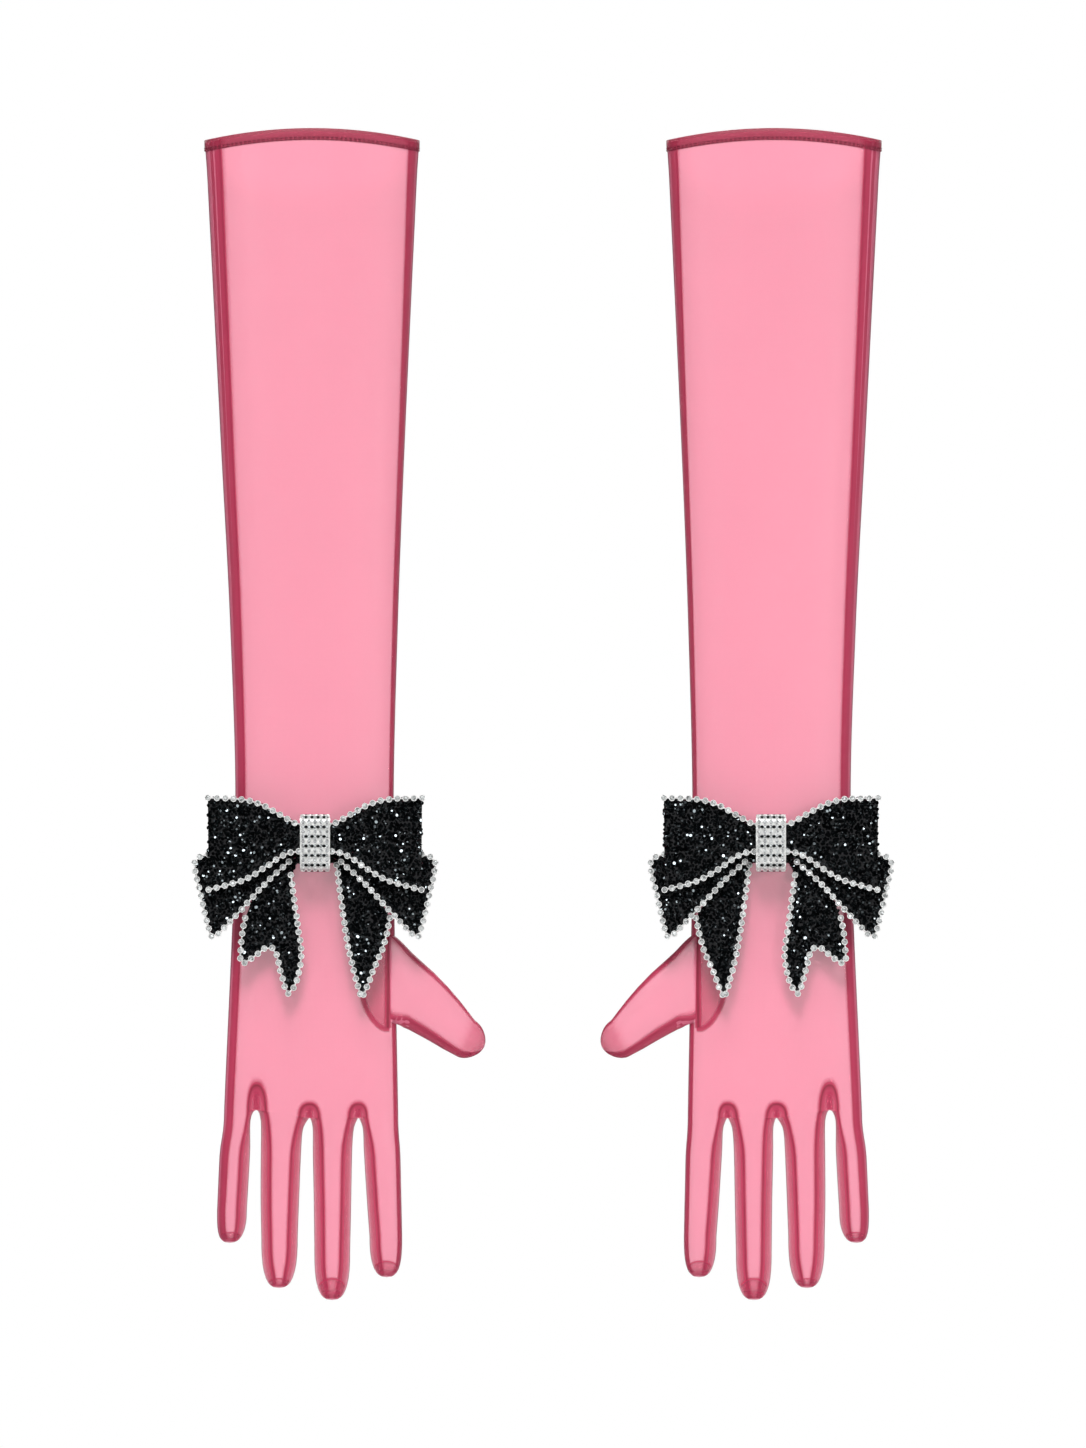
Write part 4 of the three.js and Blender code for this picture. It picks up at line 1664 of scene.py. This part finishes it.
@dataclass(frozen=True)
class Bow:
    """The bow on the back of the wrist. Its edges are drawn about the middle of the knot, on the thumb's side."""

    form: GloveForm
    x: float = 1.5
    z: float = -357.5
    pitch: float = 4.15
    cup_radius: float = 1.62
    stone_radius: float = 1.3
    grain: float = 1.75
    row_step: float = 0.866  # from row to row, as a share of the grain
    jitter: float = 0.3
    lean: float = 0.42
    sunk: float = 0.25
    sizes: tuple[float, float] = (0.72, 1.22)
    stretches: tuple[float, float] = (0.8, 1.3)
    facing: float = 0.25  # stones lie only where the ribbon faces the front by more than this
    voxel: float = 0.0009  # in metres
    spin: float = 0.2  # how far a chain's stones turn and tilt, in radians
    tilt: float = 0.1
    stone_seat: float = 0.45
    bar_share: float = 0.6
    bar_width: float = 0.8
    bar_back: float = 0.5
    knot_sunk: float = 0.35
    knot_cup: tuple[float, float, float] = (1.42, 1.2, 1.3)
    knot_stone: tuple[float, float, float] = (1.05, 0.85, 1)
    knot_stone_seat: float = 0.5
    knot_bead: tuple[float, float, float] = (0.85, 1.05, 0.9)
    knot_bead_seat: float = 0.75
    knot_corner: float = 3
    knot_columns: int = 5
    knot_pitch: float = 4.7
    loops: tuple[str, ...] = ("upper_loop_inner", "upper_loop_outer", "lower_loop_inner", "lower_loop_outer")
    tails: tuple[str, ...] = ("tail_inner", "tail_outer")
    waist: tuple[float, float, float] = (7.8, 9.4, -4.2)
    upper_top: tuple[tuple[float, float], ...] = ((16, 13.4), (26, 18.8), (36, 21.8), (53.6, 22.6))
    upper_bottom: tuple[tuple[float, float], ...] = ((16, -6.2), (25, -12.2), (36, -18.6), (53.2, -23.4))
    lower: tuple[tuple[float, float], ...] = (
        (53.4, -5.6), (60.2, -9.5), (57.2, -26), (52.6, -44.6), (49.6, -46.4), (39.5, -36.2), (24, -19.4), (13, -9.4),
    )
    pointed: tuple[tuple[float, float], ...] = (
        (10.8, -11), (13, -28), (17, -54), (22.6, -75.4), (24.6, -75.2), (29.6, -62.6), (34.4, -51), (37.6, -37.5),
    )
    forked: tuple[tuple[float, float], ...] = (
        (12, -16), (8.8, -40), (6.8, -55), (8.8, -68), (12.4, -74.6), (14.4, -74), (17.4, -63.6), (20, -54),
        (24.4, -52.4), (30.5, -57), (35.6, -60), (37.4, -58.4), (36.6, -47), (35, -37.5),
    )

    def edge(self, points: Sequence[tuple[float, float]], way: int, y: float) -> Row:
        """Turns an edge into points of the glove's own frame, at a depth y."""
        return [Vector((self.x + way * px, y, self.z + pz)) for px, pz in points]

    def spaced(self, points: Row) -> list[tuple[Vector, Vector]]:
        """Places stones along an edge.

        Args:
            points: the edge's points.

        Returns:
            Each stone's place, and the way along the edge there.
        """
        stations = [(float(i), *p) for i, p in enumerate(points)]
        fine = [Vector(between(stations, t)) for t in spread(0, len(points) - 1, 40 * len(points))]
        total = sum((b - a).length for a, b in zip(fine, fine[1:]))
        count = max(2, round(total / self.pitch) + 1)
        gap = total / (count - 1)
        made, run = [(fine[0], (fine[1] - fine[0]).normalized())], 0.0
        for a, b in zip(fine, fine[1:]):
            run += (b - a).length
            if run >= gap * len(made) - 1e-6 and len(made) < count:
                made.append((b, (b - a).normalized()))
        return made

    def chain(self, side: Side, node: str, points: Row) -> None:
        """Makes a chain of stones in cups along an edge, in place of its node.

        Args:
            side: the glove.
            node: the chain's name.
            points: the edge's points.
        """
        cups, stones, bars = [], [], []
        chance = random.Random(side.value + len(points) * 31 + sum(map(ord, node)))
        spots = self.spaced(points)
        for place, along in spots:
            spin = Matrix.Rotation(chance.uniform(-self.spin, self.spin), 4, "Z")
            facing = Matrix.Rotation(math.pi / 2, 4, "X") @ spin
            tilt = Matrix.Rotation(chance.uniform(-self.tilt, self.tilt), 4, along)
            at = Matrix.Translation(place) @ tilt @ facing
            cups.append(at @ Matrix.Scale(self.cup_radius, 4))
            stones.append(at @ Matrix.Translation((0, 0, self.stone_seat)) @ Matrix.Scale(self.stone_radius, 4))
        for (a, _), (b, _) in zip(spots, spots[1:]):
            mid = (a + b) / 2 - Vector((0, self.bar_back, 0))
            turn = (b - a).to_track_quat("X", "Y").to_matrix().to_4x4()
            size = Matrix.Diagonal(((b - a).length * self.bar_share, self.bar_width, self.bar_width, 1))
            bars.append(Matrix.Translation(mid) @ turn @ size)
        kinds = [(cup(), cups, SILVER), (cut_stone(0.5, 0.75), stones, CLEAR_STONE), (link_bar(), bars, SILVER)]
        made = copied(side, f"bow_{node}_stones", self.form.centre, kinds)
        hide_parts(side.piece(f"bow_{node}"))
        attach(made, side.piece("forearm"))

    def ribbon(self, side: Side, node: str) -> None:
        """Makes a stretch of ribbon covered with black stones, in place of its node.

        Args:
            side: the glove that the bow is on.
            node: the ribbon's name.
        """
        solid = bpy.data.objects[side.piece(f"bow_{node}")]
        cloth = placed(side.piece(f"bow_{node}_ribbon"), solid.data.copy())
        merge(cloth.data, 1e-5)
        only(cloth)
        remesh = cloth.modifiers.new("Remesh", "REMESH")
        remesh.mode = "VOXEL"
        remesh.voxel_size = self.voxel
        relax = cloth.modifiers.new("Relax", "SMOOTH")
        relax.iterations = 5
        for modifier in ("Remesh", "Relax"):
            bpy.ops.object.modifier_apply(modifier=modifier)
        dress_only(cloth, BLACK_CLOTH)
        stones = self.stones(side, node, cloth)
        only(cloth)
        stones.select_set(True)
        bpy.ops.object.join()
        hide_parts(side.piece(f"bow_{node}"))
        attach(cloth, side.piece("forearm"))

    def stones(self, side: Side, node: str, cloth: bpy.types.Object) -> bpy.types.Object:
        """Scatters close-set stones over a ribbon's front.

        Args:
            side: the glove that the bow is on.
            node: the ribbon's name.
            cloth: the ribbon.

        Returns:
            The stones, as one object.
        """
        surface = BVHTree.FromObject(cloth, bpy.context.evaluated_depsgraph_get())
        low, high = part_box(side.piece(f"bow_{node}"))
        chance = random.Random(sum(map(ord, node)))
        places: list[Matrix] = []
        row, z = 0, low.z - self.grain * MM
        way, centre = side.value, self.form.centre
        while z < high.z + self.grain * MM:
            x = low.x - self.grain * MM * (1 + (row % 2) / 2)
            while x < high.x + self.grain * MM:
                px = x + chance.uniform(-self.jitter, self.jitter) * self.grain * MM
                pz = z + chance.uniform(-self.jitter, self.jitter) * self.grain * MM
                hit, normal, _, _ = surface.ray_cast(Vector((px, low.y - 0.02, pz)), Vector((0, 1, 0)))
                spin, lean = chance.uniform(0, math.tau), chance.uniform(0, self.lean)
                size, stretch = chance.uniform(*self.sizes), chance.uniform(*self.stretches)
                heading = chance.uniform(0, math.tau)
                if hit is not None and normal.y < -self.facing:
                    spot = Vector((way * hit.x / MM - centre, hit.y / MM + self.sunk, hit.z / MM))
                    facing = Vector((way * normal.x, normal.y, normal.z)).to_track_quat("Z", "Y").to_matrix().to_4x4()
                    axis = Vector((math.cos(heading), math.sin(heading), 0))
                    places.append(
                        Matrix.Translation(spot) @ facing @ Matrix.Rotation(lean, 4, axis)
                        @ Matrix.Rotation(spin, 4, "Z") @ Matrix.Diagonal((size * stretch, size, size, 1))
                    )
                x += self.grain * MM
            z += self.grain * MM * self.row_step
            row += 1
        half = len(places) // 2
        chance.shuffle(places)
        kinds = [
            (cut_stone(0.5, 0.9, 6), places[:half], BLACK_STONE),
            (cut_stone(0.62, 0.75, 8), places[half:], BLACK_STONE),
        ]
        return copied(side, f"bow_{node}_grains", centre, kinds)

    def knot(self, side: Side) -> None:
        """Covers the knot's band with rows of stones, and finishes the band.

        Args:
            side: the glove.
        """
        name = side.piece("bow_knot")
        dress_only(bpy.data.objects[name], SILVER)
        low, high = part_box(name)
        y0, y1, z0, z1 = (v / MM for v in (low.y, high.y, low.z, high.z))
        corner, across = self.knot_corner, self.knot_columns
        width = (high.x - low.x) / MM
        path: list[tuple[Vector, Vector]] = []
        outline: list[tuple[Vector, Vector]] = []
        for cy, cz, start in ((y0, z1, 0), (y0, z0, 90), (y1, z0, 180), (y1, z1, 270)):
            mid = Vector((0, cy + (corner if cy == y0 else -corner), cz + (corner if cz == z0 else -corner)))
            for a in spread(start, start + 90, 6):
                out = Vector((0, -math.sin(math.radians(a)), math.cos(math.radians(a))))
                outline.append((mid + out * corner, out))
        after = [*outline[1:], outline[0]]
        lengths = [(b[0] - a[0]).length for a, b in zip(outline, after)]
        count = 2 * round(sum(lengths) / self.knot_pitch)
        gap, run, wanted = sum(lengths) / count, 0.0, 0.0
        for a, b, length in zip(outline, after, lengths):
            while wanted < run + length and len(path) < count:
                t = (wanted - run) / length
                path.append((a[0].lerp(b[0], t), a[1].lerp(b[1], t).normalized()))
                wanted += gap
            run += length
        cups, stones, beads = [], [], []
        for n, (place, out) in enumerate(path):
            turn = out.to_track_quat("Z", "X").to_matrix().to_4x4()
            for i in range(across):
                x = self.x + (i - (across - 1) / 2) * width / across
                at = Matrix.Translation(Vector((x, place.y, place.z)) - out * self.knot_sunk) @ turn
                cups.append(at @ Matrix.Diagonal((*self.knot_cup, 1)))
                seat = Matrix.Translation((0, 0, self.knot_stone_seat))
                stones.append(at @ seat @ Matrix.Diagonal((*self.knot_stone, 1)))
                if n % 2 and i:
                    seat = Matrix.Translation((0, 0, self.knot_bead_seat))
                    beads.append(at @ seat @ Matrix.Diagonal((*self.knot_bead, 1)))
                    beads[-1].translation.x -= width / across / 2
        kinds = [
            (cup(), cups, SILVER),
            (cut_stone(0.5, 0.7), stones, CLEAR_STONE),
            (cut_stone(0.7, 0.5), beads, BLACK_STONE),
        ]
        made = copied(side, "bow_knot_stones", self.form.centre, kinds)
        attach(made, side.piece("forearm"))

    def build(self, side: Side) -> None:
        """Makes the bow of one glove.

        Args:
            side: the glove.
        """
        for node in (*self.loops, *self.tails):
            self.ribbon(side, node)
        pinch, top, bottom = self.waist

        def back_of(node: str) -> float:
            """Returns the level of a node's back, in millimetres."""
            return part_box(side.piece(f"bow_{node}"))[1].y / MM

        upper_top = [(pinch, top), *self.upper_top]
        upper_bottom = [(pinch, bottom), *self.upper_bottom]
        for node, half in (("upper_chain_top", upper_top), ("upper_chain_bottom", upper_bottom)):
            left = self.edge(half[::-1], -1, back_of(node))
            self.chain(side, node, [*left, *self.edge(half, 1, back_of(node))])
        for place, way in (("inner", 1), ("outer", -1)):
            node = f"lower_chain_{place}"
            self.chain(side, node, self.edge(self.lower, way, back_of(node)))
        for node, tail, way in (("tail_chain_inner", self.pointed, 1), ("tail_chain_outer", self.forked, -1)):
            self.chain(side, node, self.edge(tail, way, back_of(node)))
        self.knot(side)
        dress_only(bpy.data.objects[side.piece("bow_felt")], BLACK_CLOTH)


# ---------------------------------------------------------------- the pair and its studio


@dataclass(frozen=True)
class Glove:
    """One glove, with all its pieces."""

    form: GloveForm = field(default_factory=GloveForm)

    def fingers(self) -> list[Finger]:
        """Returns the four fingers, from the little finger.

        Returns:
            The fingers.
        """
        return [
            Finger(
                self.form, "little", 0,
                edges=((-495, -44.7, -30.5), (-501, -45.3, -31), (-511, -46, -31), (-540, -47.3, -32.6)),
                depth=12, rounding=-541, tip=(-41.2, -557.4), fourchettes=("inner",),
                shell_flat=(0.031, 0.064), side_flat=(0.0148, 0.061), tuck=5,
            ),
            Finger(
                self.form, "ring", 1,
                edges=(
                    (-495, -26, -2.6), (-501, -25.4, -4.7), (-511, -25.5, -5.5), (-537, -25.6, -6.6),
                    (-556, -25.2, -7.3),
                ),
                depth=13, rounding=-554, tip=(-16.5, -580), fourchettes=("inner", "outer"),
                shell_flat=(0.0205, 0.089), side_flat=(0.0172, 0.0815), tuck=4.5,
            ),
            Finger(
                self.form, "middle", 2,
                edges=((-495, 0, 22.1), (-501, 0.5, 20.7), (-511, 0.5, 20), (-537, 1, 19.5), (-564, 1.3, 18.9)),
                depth=13.5, rounding=-562, tip=(10, -586), fourchettes=("inner", "outer"),
                shell_flat=(0.0195, 0.094), side_flat=(0.0172, 0.0875), tuck=11,
            ),
            Finger(
                self.form, "index", 3,
                edges=((-495, 24.4, 43.2), (-501, 25.6, 43.5), (-511, 26, 44), (-537, 27.6, 44.6), (-556, 29, 45)),
                depth=13, rounding=-554, tip=(37.4, -574.6), fourchettes=("outer",),
                shell_flat=(0.034, 0.081), side_flat=(0.0162, 0.0765), tuck=8,
            ),
        ]

    def build(self, side: Side) -> None:
        """Makes every piece of one glove.

        Args:
            side: the glove.
        """
        hand = Hand(self.form)
        Hem(self.form).build(side)
        Sleeve(self.form).build(side)
        fingers = self.fingers()
        hand.build(side, fingers)
        for finger in fingers:
            finger.build(side)
        Thumb(self.form, hand).build(side)
        LOG.info("%s glove's cloth is made", side.name.lower())
        Bow(self.form).build(side)
        LOG.info("%s glove's bow is made", side.name.lower())


@dataclass(frozen=True)
class Studio:
    """The floor, the light and the camera."""

    middle: float = -0.298
    view_height: float = 0.724
    floor_level: float = -0.72
    floor_size: float = 8
    distance: float = 3
    soft_light: float = 0.25
    window_scale: float = 7
    window_edge: tuple[float, float] = (0.69, 0.705)
    window_light: tuple[float, float] = (0.005, 10)

    def floor(self) -> None:
        """Lays the pale floor."""
        plane = added(bpy.ops.mesh.primitive_plane_add, size=self.floor_size, location=(0, 0, self.floor_level))
        plane.name = "floor"
        plane.data.materials.append(FLOOR.material())
        plane.visible_glossy = False

    def lamp(self, name: str, at: tuple[float, float, float], size: float, power: float) -> None:
        """Hangs a square soft light that looks at the gloves' middle.

        Args:
            name: its name.
            at: where it hangs.
            size: the length of its side.
            power: its power in watts.
        """
        data = bpy.data.lights.new(name, "AREA")
        data.size, data.energy = size, power
        lamp = bpy.data.objects.new(name, data)
        lamp.location = at
        lamp.rotation_euler = (Vector((0, 0, self.middle)) - Vector(at)).to_track_quat("-Z", "Y").to_euler()
        bpy.context.scene.collection.objects.link(lamp)

    def sun(self, name: str, towards: tuple[float, float, float], strength: float, spread_angle: float) -> None:
        """Adds an even light.

        Args:
            name: its name.
            towards: the way that its light goes.
            strength: its strength.
            spread_angle: how wide it looks, which softens its shadows.
        """
        data = bpy.data.lights.new(name, "SUN")
        data.energy, data.angle = strength, spread_angle
        key = bpy.data.objects.new(name, data)
        key.rotation_euler = Vector(towards).to_track_quat("-Z", "Y").to_euler()
        bpy.context.scene.collection.objects.link(key)

    def sky(self) -> None:
        """Makes the white surroundings: even for cloth, and dark with small bright windows in reflections."""
        world = bpy.data.worlds.new("studio")
        bpy.context.scene.world = world
        world.use_nodes = True
        tree = world.node_tree
        background = tree.nodes["Background"]
        path = new_node(tree, "LightPath")
        place = new_node(tree, "TexCoord")
        windows = new_node(tree, "TexNoise", Scale=self.window_scale, Detail=1)
        tree.links.new(place.outputs["Generated"], windows.inputs["Vector"])
        (dark, edge), (dim, light) = self.window_edge, self.window_light
        bright = new_node(tree, "MapRange", From_Min=dark, From_Max=edge, To_Min=dim, To_Max=light)
        tree.links.new(windows.outputs["Fac"], bright.inputs["Value"])
        mirror = new_node(tree, "Mix", A=self.soft_light)
        tree.links.new(bright.outputs[0], mirror.inputs["B"])
        tree.links.new(path.outputs["Is Glossy Ray"], mirror.inputs["Factor"])
        seen = new_node(tree, "Mix", B=1)
        tree.links.new(path.outputs["Is Camera Ray"], seen.inputs["Factor"])
        tree.links.new(mirror.outputs["Result"], seen.inputs["A"])
        tree.links.new(seen.outputs["Result"], background.inputs["Strength"])
        background.inputs["Color"].default_value = (1, 1, 1, 1)

    def camera(self) -> None:
        """Places the camera straight in front of the gloves."""
        data = bpy.data.cameras.new("camera")
        data.type = "ORTHO"
        data.ortho_scale = self.view_height
        data.clip_end = 7 * self.distance
        camera = bpy.data.objects.new("camera", data)
        camera.location = (0, -self.distance, self.middle)
        camera.rotation_euler = (math.pi / 2, 0, 0)
        bpy.context.scene.collection.objects.link(camera)
        bpy.context.scene.camera = camera

    def build(self) -> None:
        """Makes the studio."""
        self.floor()
        self.sun("key", towards=(0.05, 1, -1), strength=2.85, spread_angle=0.34)
        self.sun("back light", towards=(-0.2, -1, -0.7), strength=1.4, spread_angle=0.6)
        self.lamp("fill", at=(0.9, -1.8, -0.35), size=0.6, power=1.5)
        self.lamp("spark left", at=(-0.55, -1, -0.05), size=0.1, power=1.5)
        self.lamp("spark right", at=(0.6, -0.9, -0.25), size=0.1, power=1.5)
        self.sky()
        self.camera()
        scene = bpy.context.scene
        scene.view_settings.view_transform = "Standard"
        scene.view_settings.look = "None"


def main() -> None:
    """Loads the frame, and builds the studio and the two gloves."""
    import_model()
    Studio().build()
    LOG.info("the studio is ready")
    glove = Glove()
    for side in Side:
        glove.build(side)


if __name__ == "__main__":
    logging.basicConfig(level=logging.INFO, format="%(message)s")
    main()
